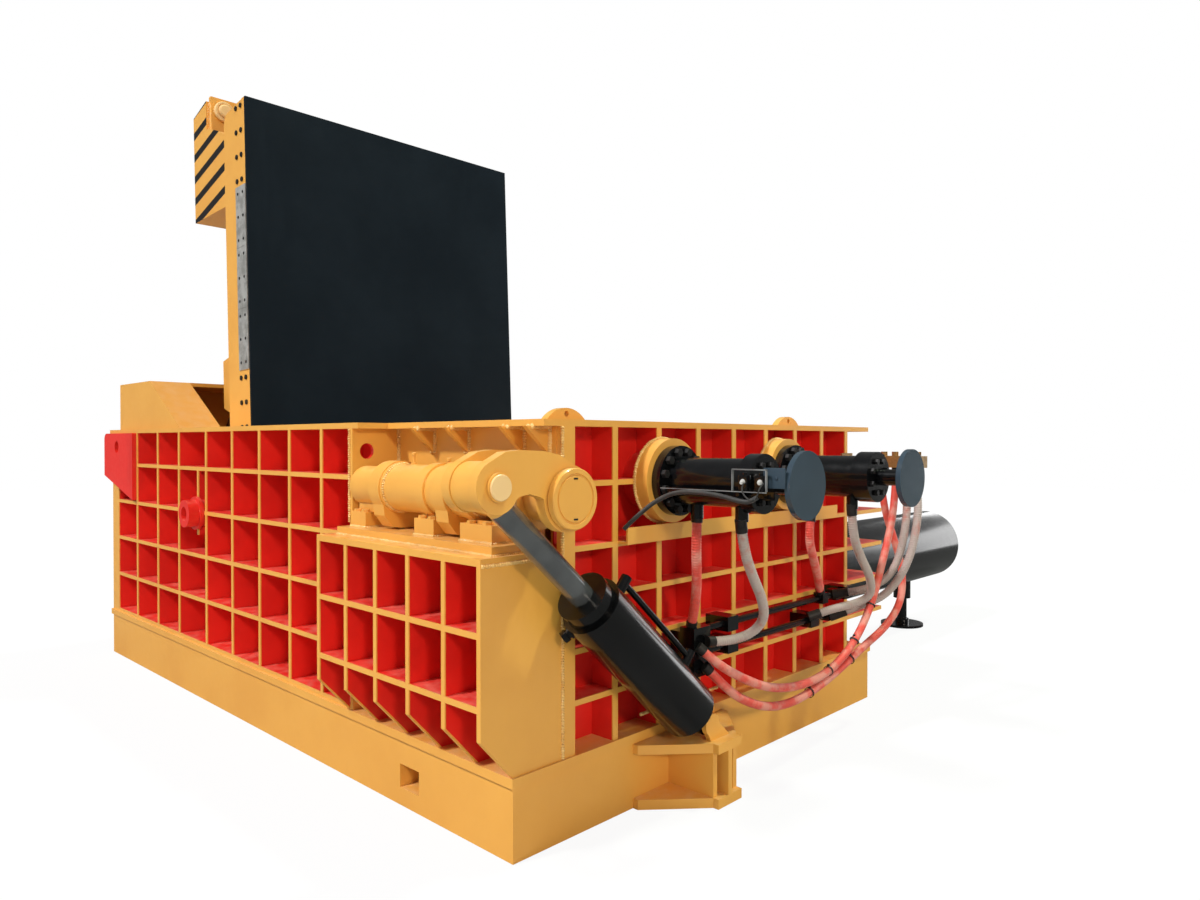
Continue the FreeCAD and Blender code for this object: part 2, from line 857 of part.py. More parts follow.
def cylinder_hood():
    """Casing over the lid cylinders: two wedge cheeks joined by a cover and a back plate."""
    x0 = hood_start()
    y_near = front + hood_side_inset
    y_far = 2 * chamber_middle - y_near
    z1 = top + hood_height
    outline = [(x0, top), (x0 + hood_length_low, top), (x0 + hood_length_high, z1), (x0, z1)]
    wall = hood_plate
    inner = [(x0 + wall, top - 1), (x0 + hood_length_low - 2 * wall, top - 1),
             (x0 + hood_length_high - wall, z1 - wall), (x0 + wall, z1 - wall)]
    pieces = []
    for y0, y1 in ((y_near, y_near + hood_cheek_width), (y_far - hood_cheek_width, y_far)):
        pieces.append(plate_xz(outline, y0, y1).cut(plate_xz(inner, y0 + wall, y1 - wall)))
    y0, y1 = y_near + hood_cheek_width - wall, y_far - hood_cheek_width + wall
    pieces.append(block(x0, x0 + hood_length_high, y0, y1, z1 - 2 * wall, z1))
    pieces.append(block(x0, x0 + wall, y0, y1, top, z1))
    return join(pieces)


# ---------------------------------------------------------------- lid pivot
def pivot_boss(outer_face, inner_face, outward):
    """A tube through the wall with a ring on its outside and a recess round the shaft's end."""
    length = abs(outer_face - inner_face)
    start = V(pivot_x, outer_face, pivot_z)
    inward = V(0, -outward, 0)
    bore = lid_shaft_diameter + 2 * lid_shaft_gap
    body = rod(start, inward, length, boss_diameter)
    ring_start = start + inward * boss_proud
    ring = rod(ring_start - inward * boss_ring, inward, boss_ring, boss_ring_diameter)
    shaft_hole = rod(start + inward * boss_bore_depth, inward, length, bore)
    mouth = rod(start - inward, inward, length, boss_bore_diameter)
    return body.fuse(ring).cut(shaft_hole).cut(mouth).removeSplitter()


def pivot_bosses():
    near = pivot_boss(front - boss_proud, chamber_near, -1)
    far = pivot_boss(rear + boss_proud, chamber_far, 1)
    return group([near, far])


def pivot_shaft():
    y0 = front - boss_proud + boss_bore_depth
    y1 = rear + boss_proud - boss_bore_depth
    return rod(V(pivot_x, y0, pivot_z), Y, y1 - y0, lid_shaft_diameter)


# ---------------------------------------------------------------- lid
lean = math.radians(lid_lean)
lid_up = V(-math.sin(lean), 0, math.cos(lean))
lid_out = V(math.cos(lean), 0, math.sin(lean))
pivot = V(pivot_x, 0, pivot_z)


def on_lid(along, out, y=0.0):
    return pivot + lid_up * along + lid_out * out + V(0, y, 0)


def upright(along, out, y=0.0):
    return pivot + Z * along + X * out + V(0, y, 0)


def tilt(shape):
    """Lean a piece that was built with the lid upright back to the lid's real place."""
    leaned = shape.copy()
    leaned.rotate(pivot, Y, -lid_lean)
    return leaned


def lid_slab(points, y0, y1):
    """A plate across the upright lid: its outline is in lengths along it and out of its face."""
    return plate(points, upright(0, 0, y0), Z, X, y1 - y0)


def lid_strip(along0, along1, out0, out1, y0, y1):
    return lid_slab([(along0, out0), (along1, out0), (along1, out1), (along0, out1)], y0, y1)


def lid_edge_outline():
    face = lid_face_offset - lid_liner
    back = -lid_back_offset
    return [(0, face), (lid_length, face), (lid_length - lid_tip_rake, 0.2 * face),
            (lid_length - lid_tip_step, 0.8 * back), (lid_length - lid_tip_chamfer, back), (0, back)]


def lid_body():
    face = lid_face_offset - lid_liner
    back = -lid_back_offset
    pieces = [lid_strip(0, lid_length, face - lid_face_plate, face, lid_near, lid_far)]
    for y0 in (lid_near, lid_far - lid_edge_plate):
        pieces.append(lid_slab(lid_edge_outline(), y0, y0 + lid_edge_plate))
    pitch = (lid_far - lid_near) / (lid_ribs_along + 1)
    tip = lid_length - lid_tip_rake
    for n in range(1, lid_ribs_along + 1):
        y = lid_near + pitch * n - lid_rib_plate / 2
        pieces.append(lid_strip(0, tip, 0.8 * back, face - 1, y, y + lid_rib_plate))
    pitch = (lid_length - lid_edge_plate) / lid_ribs_across
    for n in range(lid_ribs_across + 1):
        along = pitch * n
        end = n == lid_ribs_across
        out0 = 0.2 * face if end else 0.94 * back
        pieces.append(lid_strip(along, along + (lid_rib_plate if not end else lid_edge_plate - 12),
                                out0, face - 1, lid_near + 1, lid_far - 1))
    hub = rod(upright(0, 0, lid_near), Y, lid_far - lid_near, 2 * lid_hub_radius)
    pieces.append(hub)
    body = join(pieces)
    bore = rod(upright(0, 0, lid_near - 1), Y, lid_far - lid_near + 2,
               lid_shaft_diameter + 2 * lid_shaft_gap)
    return tilt(body.cut(bore).removeSplitter())


def lid_face():
    sheet = lid_strip(lid_rib_plate, lid_length, lid_face_offset - lid_liner, lid_face_offset,
                      lid_near, lid_far)
    return tilt(sheet.cut(rod(upright(0, 0, lid_near - 1), Y, lid_far - lid_near + 2,
                              2 * lid_hub_radius)))


def lid_wear_strips():
    strips = []
    out1 = lid_face_offset - lid_liner
    for y0 in (lid_near - wear_strip, lid_far):
        for n in range(wear_strips):
            start = wear_strip_start + n * (wear_strip_length + wear_strip_gap)
            strips.append(lid_strip(start, start + wear_strip_length, out1 - wear_strip_width, out1,
                                    y0, y0 + wear_strip))
    return tilt(group(strips))


def lid_bolts():
    """Pairs of bolts up both sides of the lid, with none where the wear strips are."""
    heads = []
    strips_end = wear_strip_start + wear_strips * (wear_strip_length + wear_strip_gap)
    out0 = lid_face_offset - lid_liner - wear_strip_width * 0.85
    out1 = lid_face_offset - lid_liner - wear_strip_width * 0.35
    along = lid_length - lid_bolt_inset
    while along > lid_bolt_pitch:
        if not wear_strip_start - lid_bolt_diameter < along < strips_end + lid_bolt_diameter:
            for out in (out0, out1):
                heads.append(rod(upright(along, out, lid_near - lid_bolt_head), Y,
                                 lid_bolt_head, lid_bolt_diameter))
                heads.append(rod(upright(along, out, lid_far), Y, lid_bolt_head,
                                 lid_bolt_diameter))
        along -= lid_bolt_pitch
    return tilt(group(heads))


def landing_wall_outline():
    plate_back = -landing_plate_offset - landing_plate
    notch_end = lid_length - lid_tip_chamfer
    return [(landing_start, -lid_back_offset), (landing_start, -landing_back),
            (landing_top - landing_top_chamfer, -landing_back), (landing_top, plate_back),
            (landing_wall_end, plate_back), (landing_wall_end, -landing_plate_offset),
            (notch_end - landing_notch_depth * 0.4, -lid_back_offset - landing_notch_depth),
            (notch_end - landing_notch_depth, -lid_back_offset)]


def landing_box():
    """The striped box on the lid's back, with its side walls, skins and middle web."""
    outline = landing_wall_outline()
    side = landing_side_plate
    middle = (lid_near + lid_far) / 2
    pieces = [lid_slab(outline, y, y + side)
              for y in (lid_near, middle - side / 2, lid_far - side)]
    inner0, inner1 = lid_near + 1, lid_far - 1
    back = -landing_back
    pieces.append(lid_strip(landing_start, landing_start + landing_skin, back, -lid_back_offset,
                            inner0, inner1))
    pieces.append(lid_strip(landing_start, landing_top - landing_top_chamfer, back,
                            back + landing_skin, inner0, inner1))
    plate_back = -landing_plate_offset - landing_plate
    top_skin = [(landing_top - landing_top_chamfer, back), (landing_top, plate_back),
                (landing_top - landing_skin, plate_back),
                (landing_top - landing_top_chamfer - landing_skin, back)]
    pieces.append(lid_slab(top_skin, inner0, inner1))
    return join(pieces)


def landing_plate_piece():
    """The plate that lands beside the opening, with its two round feet."""
    out0, out1 = -landing_plate_offset - landing_plate, -landing_plate_offset
    sheet = lid_strip(landing_wall_end, landing_plate_end, out0, out1,
                      lid_near + landing_plate_inset, lid_far - landing_plate_inset)
    feet = []
    for y in (lid_near + landing_boss_inset, lid_far - landing_boss_inset):
        feet.append(rod(upright(landing_boss_place, out1 - 1, y), X, landing_boss + 1,
                        landing_boss_diameter))
    return join([sheet] + feet)


# ---------------------------------------------------------------- lid cylinders
lid_pin = on_lid(lid_pin_along, -lid_pin_back)
foot_wall = body_left + rib_plate
lid_foot = V(foot_wall + lid_foot_inset, 0, body_height - lid_foot_drop)
lid_stroke_axis = (lid_foot - lid_pin).normalize()
lid_reach = (lid_foot - lid_pin).Length


def lid_cylinders_y():
    return [lid_near + lid_cylinder_inset - lid_side_gap,
            lid_far - lid_cylinder_inset + lid_side_gap]


def lid_ears():
    """Pairs of ears on the lid's back, each with the pin of its cylinder."""
    back = -lid_back_offset
    outline = [(lid_ear_end, back), (lid_ear_shoulder, -lid_ear_reach),
               (lid_pin_along - lid_ear_nose, -lid_ear_reach),
               (lid_ear_bend, -lid_ear_bend_reach), (lid_ear_start, back)]
    pieces = []
    for middle in lid_cylinders_y():
        for y in (middle - lid_ear_gap / 2 - lid_ear_plate, middle + lid_ear_gap / 2):
            pieces.append(lid_slab(outline, y, y + lid_ear_plate))
        pieces.append(rod(upright(lid_pin_along, -lid_pin_back,
                                  middle - lid_ear_gap / 2 - lid_ear_plate - lid_pin_proud), Y,
                          lid_ear_gap + 2 * lid_ear_plate + 2 * lid_pin_proud,
                          lid_pin_diameter))
    return tilt(group([join(pieces[0:3]), join(pieces[3:6])]))


def along_lid_cylinder(y, distance):
    """A point at a distance from the lid's pin towards the cylinder's foot."""
    return lid_pin + lid_stroke_axis * distance + V(0, y, 0)


def lid_rod(y):
    axis = lid_stroke_axis
    eye = rod(along_lid_cylinder(y - lid_eye_width / 2, 0), Y, lid_eye_width, lid_eye_diameter)
    start = lid_eye_diameter / 2 - lid_eye_overlap
    piston_front = lid_piston_place
    stem = rod(along_lid_cylinder(y, start), axis, piston_front + 1 - start, lid_rod_diameter)
    piston = rod(along_lid_cylinder(y, piston_front), axis, lid_piston_length,
                 lid_barrel_diameter - 2 * lid_barrel_wall - 2 * piston_gap)
    bore = rod(along_lid_cylinder(y - lid_eye_width, 0), Y, 2 * lid_eye_width,
               lid_pin_diameter + 2 * pin_gap)
    return join([eye, stem, piston]).cut(bore)


def lid_barrel(y):
    """Barrel with its gland, its closed end, the foot eye and the foot pin."""
    axis = lid_stroke_axis
    s0 = lid_reach - lid_barrel_end
    s1 = lid_reach - lid_barrel_foot_gap
    inside = lid_barrel_diameter - 2 * lid_barrel_wall
    shell = tube(along_lid_cylinder(y, s0), axis, s1 - s0, lid_barrel_diameter, inside)
    gland = tube(along_lid_cylinder(y, s0), axis, lid_gland_length, inside + 2,
                 lid_rod_diameter + 2 * rod_gap)
    cap = rod(along_lid_cylinder(y, s1 - lid_cap_length), axis, lid_cap_length, inside + 2)
    eye = rod(along_lid_cylinder(y - lid_eye_width / 2, lid_reach), Y, lid_eye_width,
              lid_foot_eye_diameter)
    neck = rod(along_lid_cylinder(y, s1 - 1), axis, lid_barrel_foot_gap, lid_eye_width - 2)
    pin = rod(along_lid_cylinder(y - lid_foot_pin_length / 2, lid_reach), Y,
              lid_foot_pin_length, lid_foot_pin_diameter)
    return join([shell, gland, cap, eye, neck, pin])


def lid_feet():
    """Ears on the end wall's inside, one pair at each side of a cylinder's foot."""
    half, wide = foot_ear_half_width, foot_ear_base_half_width
    x0 = foot_wall + foot_base_plate
    x, z = lid_foot.x, lid_foot.z
    outline = [(x0, z - wide), (x, z - half), (x, z + half), (x0, z + wide)]
    feet = []
    for middle in lid_cylinders_y():
        pieces = [block(foot_wall, x0, middle - foot_ear_gap / 2 - foot_ear_plate,
                        middle + foot_ear_gap / 2 + foot_ear_plate, z - wide, z + wide)]
        for y in (middle - foot_ear_gap / 2 - foot_ear_plate, middle + foot_ear_gap / 2):
            pieces.append(plate_xz(outline, y, y + foot_ear_plate))
            pieces.append(rod(V(x, y, z), Y, foot_ear_plate, 2 * half))
        feet.append(join(pieces))
    return group(feet)


# ---------------------------------------------------------------- side ram
side_ram_face = right - side_ram_from_lock_end
side_ram_back = side_ram_face - side_ram_length


def side_ram_box():
    """Hollow ram: face plate, skins and two webs, open towards its cylinders."""
    y0, y1 = chamber_near + ram_gap, chamber_far - ram_gap
    z0 = floor_top + ram_floor_gap
    outer = block(side_ram_back, side_ram_face, y0, y1, z0, ram_top)
    inner = block(side_ram_back - 1, side_ram_face - ram_face_plate, y0 + ram_skin,
                  y1 - ram_skin, z0 + ram_skin, ram_top - ram_skin)
    webs = [block(side_ram_back, side_ram_face - ram_face_plate + 1, y - ram_skin / 2,
                  y + ram_skin / 2, z0 + 1, ram_top - 1)
            for y in (chamber_middle - side_ram_web, chamber_middle + side_ram_web)]
    return join([outer.cut(inner)] + webs)


def side_barrel_end():
    return side_ram_face - ram_face_plate - side_barrel_front_gap


def side_rods():
    inside = side_barrel_diameter - 2 * side_barrel_wall
    x1 = side_ram_face - ram_face_plate
    x0 = side_barrel_end() - side_barrel_length + side_cap_length + side_end_gap
    rods = []
    for y in side_cylinders_y():
        z = side_cylinder_height
        rods.append(join([rod(V(x0 + 1, y, z), X, x1 - x0 - 1, side_rod_diameter),
                          rod(V(x0, y, z), X, side_piston_length, inside - 2 * piston_gap)]))
    return group(rods)


def side_barrels():
    inside = side_barrel_diameter - 2 * side_barrel_wall
    x1 = side_barrel_end()
    x0 = x1 - side_barrel_length
    barrels = []
    for y in side_cylinders_y():
        z = side_cylinder_height
        pieces = [tube(V(x0, y, z), X, side_barrel_length, side_barrel_diameter, inside),
                  tube(V(x1 - side_gland_length, y, z), X, side_gland_length, inside + 2,
                       side_rod_diameter + 2 * rod_gap),
                  rod(V(x0, y, z), X, side_cap_length, inside + 2),
                  tube(V(left - side_flange, y, z), X, side_flange, side_flange_diameter,
                       side_barrel_diameter - 2)]
        barrels.append(join(pieces))
    return group(barrels)


# ---------------------------------------------------------------- main ram
def main_ram_block():
    """Hollow ram: face plate, skins and a middle web, its rod ending on the face plate."""
    x0, x1 = channel_left + ram_gap, seat_face - ram_gap
    y0, y1 = chamber_far, chamber_far + main_ram_length
    z0 = floor_top + ram_floor_gap
    outer = block(x0, x1, y0, y1, z0, ram_top)
    inner = block(x0 + ram_skin, x1 - ram_skin, y0 + main_ram_face_plate, y1 + 1,
                  z0 + ram_skin, ram_top - ram_skin)
    return outer.cut(inner)


def main_rod():
    inside = main_barrel_diameter - 2 * main_barrel_wall
    y0 = chamber_far + main_ram_face_plate
    y1 = main_barrel_end - main_cap_length - main_end_gap
    centre = V(channel_middle, y0, main_cylinder_height)
    piston = V(channel_middle, y1 - main_piston_length, main_cylinder_height)
    return join([rod(centre, Y, y1 - y0 - 1, main_rod_diameter),
                 rod(piston, Y, main_piston_length, inside - 2 * piston_gap)])


def main_barrel():
    inside = main_barrel_diameter - 2 * main_barrel_wall
    y0, y1 = rear_box_end, main_barrel_end
    z = main_cylinder_height
    pieces = [tube(V(channel_middle, y0, z), Y, y1 - y0, main_barrel_diameter, inside),
              tube(V(channel_middle, y0, z), Y, main_flange, main_flange_diameter,
                   main_barrel_diameter - 2),
              tube(V(channel_middle, y0, z), Y, main_gland_length, inside + 2,
                   main_rod_diameter + 2 * rod_gap),
              rod(V(channel_middle, y1 - main_cap_length, z), Y, main_cap_length, inside + 2)]
    return join(pieces)


# ---------------------------------------------------------------- jack
def jack_head(barrel):
    """Sleeve welded under the barrel, with a blind bore for the screw."""
    z1 = main_cylinder_height - main_barrel_diameter / 2
    z0 = z1 - jack_head_length
    centre = V(channel_middle, jack_place, z0)
    head = rod(centre, Z, jack_head_length + jack_saddle, jack_head_diameter)
    bore = rod(centre - Z, Z, jack_head_length - jack_bore_end + 1,
               jack_stem_diameter + 2 * jack_gap)
    return head.cut(bore).cut(barrel)


def jack_foot_piece():
    z1 = main_cylinder_height - main_barrel_diameter / 2
    stem_top = z1 - jack_bore_end - jack_travel - jack_end_gap
    centre = V(channel_middle, jack_place, 0)
    return join([rod(centre, Z, jack_foot, jack_foot_diameter),
                 rod(centre, Z, jack_foot + jack_collar, jack_collar_diameter),
                 rod(centre, Z, stem_top, jack_stem_diameter)])


# ---------------------------------------------------------------- lid locks
def lock_rings():
    bore = lock_bolt_diameter + 2 * lock_bolt_gap
    return group([tube(V(right, y, lock_height), X, lock_ring, lock_ring_diameter, bore)
                  for y in lid_locks_y()])


def lock_barrels():
    """Flange, barrel with its front plate, and two ports on the underside."""
    bore = lock_bolt_diameter + 2 * lock_bolt_gap
    inside = lock_barrel_diameter - 2 * lock_barrel_wall
    x0 = right + lock_ring
    x1 = x0 + lock_flange
    barrels = []
    for y in lid_locks_y():
        z = lock_height
        pieces = [tube(V(x0, y, z), X, lock_flange, lock_flange_diameter, bore),
                  tube(V(x1, y, z), X, lock_barrel_length, lock_barrel_diameter, inside),
                  tube(V(x1, y, z), X, lock_front_plate, lock_barrel_diameter,
                       lock_rod_diameter + 2 * rod_gap)]
        shell = join(pieces)
        ports = [rod(V(x1 + place, y, z), -Z, lock_barrel_diameter / 2 + port_length,
                     port_diameter) for place in port_places]
        core = rod(V(x1 + lock_front_plate, y, z), X, lock_barrel_length - lock_front_plate,
                   inside)
        keep = [port.cut(rod(V(x0, y, z), X, lock_barrel_length + lock_flange,
                             lock_barrel_diameter - lock_barrel_wall)) for port in ports]
        barrels.append(join([shell] + keep).cut(core))
    return group(barrels)


def lock_caps():
    x0 = right + lock_ring + lock_flange + lock_barrel_length
    caps = []
    for y, length in zip(lid_locks_y(), (lock_cap_near, lock_cap_far)):
        caps.append(tube(V(x0, y, lock_height), X, length, lock_cap_diameter,
                         lock_rod_diameter + 2 * rod_gap))
    return group(caps)


def lock_bolt(y):
    """Lock bolt, its tail rod with the piston, and the stop disc at the outer end."""
    x0 = seat_face + lock_bolt_recess
    x1 = right + lock_ring + lock_flange - lock_bolt_end_gap
    disc = right + lock_disc_place
    piston = right + lock_piston_place
    inside = lock_barrel_diameter - 2 * lock_barrel_wall
    z = lock_height
    return join([rod(V(x0, y, z), X, x1 - x0, lock_bolt_diameter),
                 rod(V(x1 - 1, y, z), X, disc - x1 + 2, lock_rod_diameter),
                 rod(V(piston, y, z), X, lock_piston_length, inside - 2 * piston_gap),
                 rod(V(disc, y, z), X, lock_disc, lock_disc_diameter)])


def cylinder_bolts():
    """Hexagon heads on the lock flanges, the lock caps and the big cylinder flanges."""
    heads = []
    for y in lid_locks_y():
        face = V(right + lock_ring + lock_flange, y, lock_height)
        circle = (lock_flange_diameter + lock_barrel_diameter) / 2
        heads += bolt_ring(face, X, circle, lock_flange_bolts, lock_flange_bolt_diameter,
                           lock_flange_bolt_height, 15)
    x0 = right + lock_ring + lock_flange + lock_barrel_length
    for y, length in zip(lid_locks_y(), (lock_cap_near, lock_cap_far)):
        circle = (lock_cap_diameter + lock_rod_diameter) / 2
        heads += bolt_ring(V(x0 + length, y, lock_height), X, circle, lock_cap_bolts,
                           lock_cap_bolt_diameter, lock_cap_bolt_height, 22.5)
    for y in side_cylinders_y():
        circle = (side_flange_diameter + side_barrel_diameter) / 2
        heads += bolt_ring(V(left - side_flange, y, side_cylinder_height), -X, circle,
                           side_flange_bolts, side_flange_bolt_diameter, side_flange_bolt_height)
    circle = (main_flange_diameter + main_barrel_diameter) / 2
    heads += bolt_ring(V(channel_middle, rear_box_end + main_flange, main_cylinder_height), Y,
                       circle, main_flange_bolts, main_flange_bolt_diameter,
                       main_flange_bolt_height)
    return group(heads)


def sensor_rail():
    """Angle beside the near lock cylinder, on a foot from the cap, with two round switches."""
    y = lid_locks_y()[0] - lock_cap_diameter / 2 - rail_gap
    x0 = right + lock_ring + lock_flange + lock_flange_bolt_height + rail_gap
    x1 = right + lock_disc_place - rail_end_gap
    z0 = lock_height - rail_drop
    leg = rail_width
    angle = [(y, z0), (y - leg, z0), (y - leg, z0 + rail_plate), (y - rail_plate, z0 + rail_plate),
             (y - rail_plate, z0 + leg), (y, z0 + leg)]
    rail = plate_yz(angle, x0, x1)
    foot = block(x0, x0 + rail_foot, y - rail_plate, lid_locks_y()[0], z0, z0 + leg)
    shell = rod(V(right, lid_locks_y()[0], lock_height), X, lock_disc_place,
                lock_barrel_diameter)
    rail = join([rail, foot]).cut(shell)
    switches = []
    for place in switch_places:
        at = V(right + place, y - rail_plate, z0 + leg * 0.62)
        switches.append(rod(at, -Y, switch_length, switch_diameter))
    return group([join([rail] + switches)])


# ---------------------------------------------------------------- turn-out shaft and crank
crank_arm = math.hypot(crank_arm_back, crank_arm_rise)
crank_along = V(0, -crank_arm_back / crank_arm, crank_arm_rise / crank_arm)
crank_across = V(0, crank_arm_rise / crank_arm, crank_arm_back / crank_arm)
crank_pin_y = shaft_y - crank_arm_back
crank_pin_z = shaft_height + crank_arm_rise
crank_x = right + crank_plane


def turnout_shaft():
    x0 = bay_left + shaft_start
    x1 = right + shaft_end
    pieces = [rod(V(x0, shaft_y, shaft_height), X, x1 - x0, shaft_diameter)]
    for place, length in zip(collar_places, collar_lengths):
        pieces.append(rod(V(bay_left + place, shaft_y, shaft_height), X, length,
                          collar_diameter))
    sleeve_start = bay_left + collar_places[0]
    sleeve_end = bay_left + collar_places[2]
    pieces.append(rod(V(sleeve_start, shaft_y, shaft_height), X, sleeve_end - sleeve_start,
                      sleeve_diameter))
    pieces.append(rod(V(x1 - 1, shaft_y, shaft_height), X, shaft_cap + 1, shaft_cap_diameter))
    return join(pieces)


def pillow_blocks():
    """Bearing blocks on the pad: low in front of the shaft and high behind it."""
    y1 = box_back
    y0 = y1 - pillow_width
    rear_y = shaft_y + pillow_rear_start
    rear_top = shaft_height + pillow_rear_rise
    front_top = pad_top + pillow_height
    blocks = []
    for place, length in zip(pillow_places, pillow_lengths):
        seats_collar = place + length > collar_places[0]
        radius = (collar_diameter if seats_collar else shaft_diameter) / 2 + bearing_gap
        cradle = shaft_height - radius * 0.8
        outline = [(y0, pad_top), (y1, pad_top), (y1, rear_top), (rear_y, rear_top),
                   (rear_y, cradle), (y0 + pillow_step, cradle), (y0 + pillow_step, front_top),
                   (y0, front_top)]
        x = bay_left + place
        blocks.append(plate_yz(outline, x, x + length).cut(
            rod(V(x - 1, shaft_y, shaft_height), X, length + 2, 2 * radius)))
    return group(blocks)


def pillow_bolts():
    heads = []
    front_y = box_back - pillow_width + pillow_bolt_inset
    rear_y = box_back - pillow_rear_bolt_inset
    for place, length in zip(pillow_places, pillow_lengths):
        for share in pillow_bolt_places:
            x = bay_left + place + length * share
            heads.append(hex_head(V(x, front_y, pad_top + pillow_height), Z,
                                  pillow_bolt_diameter, pillow_bolt_height))
            heads.append(hex_head(V(x, rear_y, shaft_height + pillow_rear_rise), Z,
                                  pillow_bolt_diameter, pillow_bolt_height))
    return group(heads)


def crank_plates():
    cheeks = []
    for x in (crank_x - crank_spacing / 2 - crank_plate / 2,
              crank_x + crank_spacing / 2 - crank_plate / 2):
        hub = rod(V(x, shaft_y, shaft_height), X, crank_plate, crank_hub_diameter)
        eye = rod(V(x, crank_pin_y, crank_pin_z), X, crank_plate, crank_eye_diameter)
        outline = [(share * crank_arm, rise) for share, rise in crank_edge_top]
        outline += [(0.0, 0.0)]
        outline += [(share * crank_arm, rise) for share, rise in crank_edge_bottom]
        outline += [(crank_arm, 0.0)]
        web = plate([(rise, share) for share, rise in outline], V(x, shaft_y, shaft_height),
                    crank_across, crank_along, crank_plate)
        cheek = join([hub, eye, web])
        cheek = cheek.cut(rod(V(x - 1, shaft_y, shaft_height), X, crank_plate + 2,
                              shaft_diameter))
        cheeks.append(cheek.cut(rod(V(x - 1, crank_pin_y, crank_pin_z), X, crank_plate + 2,
                                    crank_pin_diameter)))
    return group(cheeks)


def crank_pin():
    half = crank_spacing / 2 + crank_plate / 2
    at = V(crank_x - half - crank_pin_head, crank_pin_y, crank_pin_z)
    return join([rod(at, X, 2 * half + 2 * crank_pin_head, crank_pin_diameter),
                 rod(at, X, crank_pin_head, crank_pin_head_diameter),
                 rod(at + X * (2 * half + crank_pin_head), X, crank_pin_head,
                     crank_pin_head_diameter)])


# ---------------------------------------------------------------- turn-out cylinder
turnout_pin = V(crank_x, crank_pin_y, crank_pin_z)
turnout_foot = V(crank_x, front + turnout_eye_y, turnout_eye_height)
turnout_axis = (turnout_foot - turnout_pin).normalize()
turnout_reach = (turnout_foot - turnout_pin).Length
turnout_up = X.cross(turnout_axis)
turnout_barrel_end = turnout_reach - turnout_foot_gap
feed_pipe_end = turnout_barrel_end - feed_pipe_end_inset


def turnout_rod():
    axis = turnout_axis
    inside = turnout_barrel_diameter - 2 * turnout_barrel_wall
    half = turnout_rod_eye_width / 2
    eye = rod(turnout_pin - X * half, X, 2 * half, turnout_rod_eye_diameter)
    start = turnout_rod_eye_diameter / 2 - turnout_eye_overlap
    end = turnout_barrel_start + turnout_piston_place
    stem = rod(turnout_pin + axis * start, axis, end + 1 - start, turnout_rod_diameter)
    piston = rod(turnout_pin + axis * end, axis, turnout_piston_length, inside - 2 * piston_gap)
    bore = rod(turnout_pin - X * (half + 1), X, 2 * half + 2, crank_pin_diameter + 2 * pin_gap)
    return join([eye, stem, piston]).cut(bore)


def turnout_barrel():
    """Barrel with its gland collar, foot eye and pin, and the feed pipe above it."""
    axis = turnout_axis
    inside = turnout_barrel_diameter - 2 * turnout_barrel_wall
    s0, s1 = turnout_barrel_start, turnout_barrel_end
    rod_bore = turnout_rod_diameter + 2 * rod_gap
    foot = turnout_pin + axis * turnout_reach
    pieces = [tube(turnout_pin + axis * s0, axis, s1 - s0, turnout_barrel_diameter, inside),
              tube(turnout_pin + axis * (s0 - turnout_gland_length), axis,
                   turnout_gland_length, turnout_gland_diameter, rod_bore),
              tube(turnout_pin + axis * (s0 - 1), axis, turnout_gland_length, inside + 2,
                   rod_bore),
              rod(turnout_pin + axis * (s1 - turnout_cap_length), axis, turnout_cap_length,
                  inside + 2)]
    neck = rod(turnout_pin + axis * (s1 - 1), axis, turnout_reach - s1 + 1,
               turnout_eye_width - 12)
    eye = rod(foot - X * (turnout_eye_width / 2), X, turnout_eye_width, turnout_eye_diameter)
    pin = rod(foot - X * (foot_pin_length / 2), X, foot_pin_length, foot_pin_diameter)
    lift = turnout_up * feed_pipe_rise
    for place in (feed_pipe_start, feed_pipe_end - feed_block):
        at = turnout_pin + axis * (place + feed_block / 2)
        pieces.append(rod(at + turnout_up * (turnout_barrel_diameter / 2 - 8), turnout_up,
                          feed_pipe_rise - turnout_barrel_diameter / 2 + 8 + feed_pipe_diameter,
                          feed_block))
    pieces.append(rod(turnout_pin + axis * (feed_pipe_start + feed_block / 2) + lift, axis,
                      feed_pipe_end - feed_pipe_start - feed_block, feed_pipe_diameter))
    return join(pieces + [neck, eye, pin])


# ---------------------------------------------------------------- flap
def turnout_flap():
    """Wall and floor plate of the press channel, hung on the shaft by two arms."""
    x0, x1 = channel_left + flap_gap, seat_face - ram_gap
    leg_back = flap_face
    leg_front = flap_face - flap_leg_plate
    z0 = floor_top + flap_gap
    z1 = pad_top + flap_gap
    flap_top = shelf_height + flap_top_gap
    pieces = [block(x0, x1, leg_front, leg_back, z0, flap_top),
              block(x0, x1, leg_front + 1, flap_face + flap_reach, z0, z0 + flap_plate)]
    arms = []
    for place in flap_arm_places:
        x = bay_left + place
        outline = [(shaft_y + y, shaft_height + z) for y, z in flap_arm_front]
        outline += [(shaft_y, z1), (leg_front + 2, z1),
                    (leg_front + 2, flap_top - flap_arm_lap), (leg_back, flap_top - flap_arm_lap),
                    (leg_back, flap_top + flap_arm_lap),
                    (shaft_y + flap_arm_half_width, shaft_height + flap_arm_half_width)]
        arms.append(plate_yz(outline, x, x + flap_arm_plate))
        arms.append(rod(V(x, shaft_y, shaft_height), X, flap_arm_plate,
                        collar_diameter + 2 * flap_hub_wall))
    flap = join(pieces + arms)
    return flap.cut(turnout_shaft())


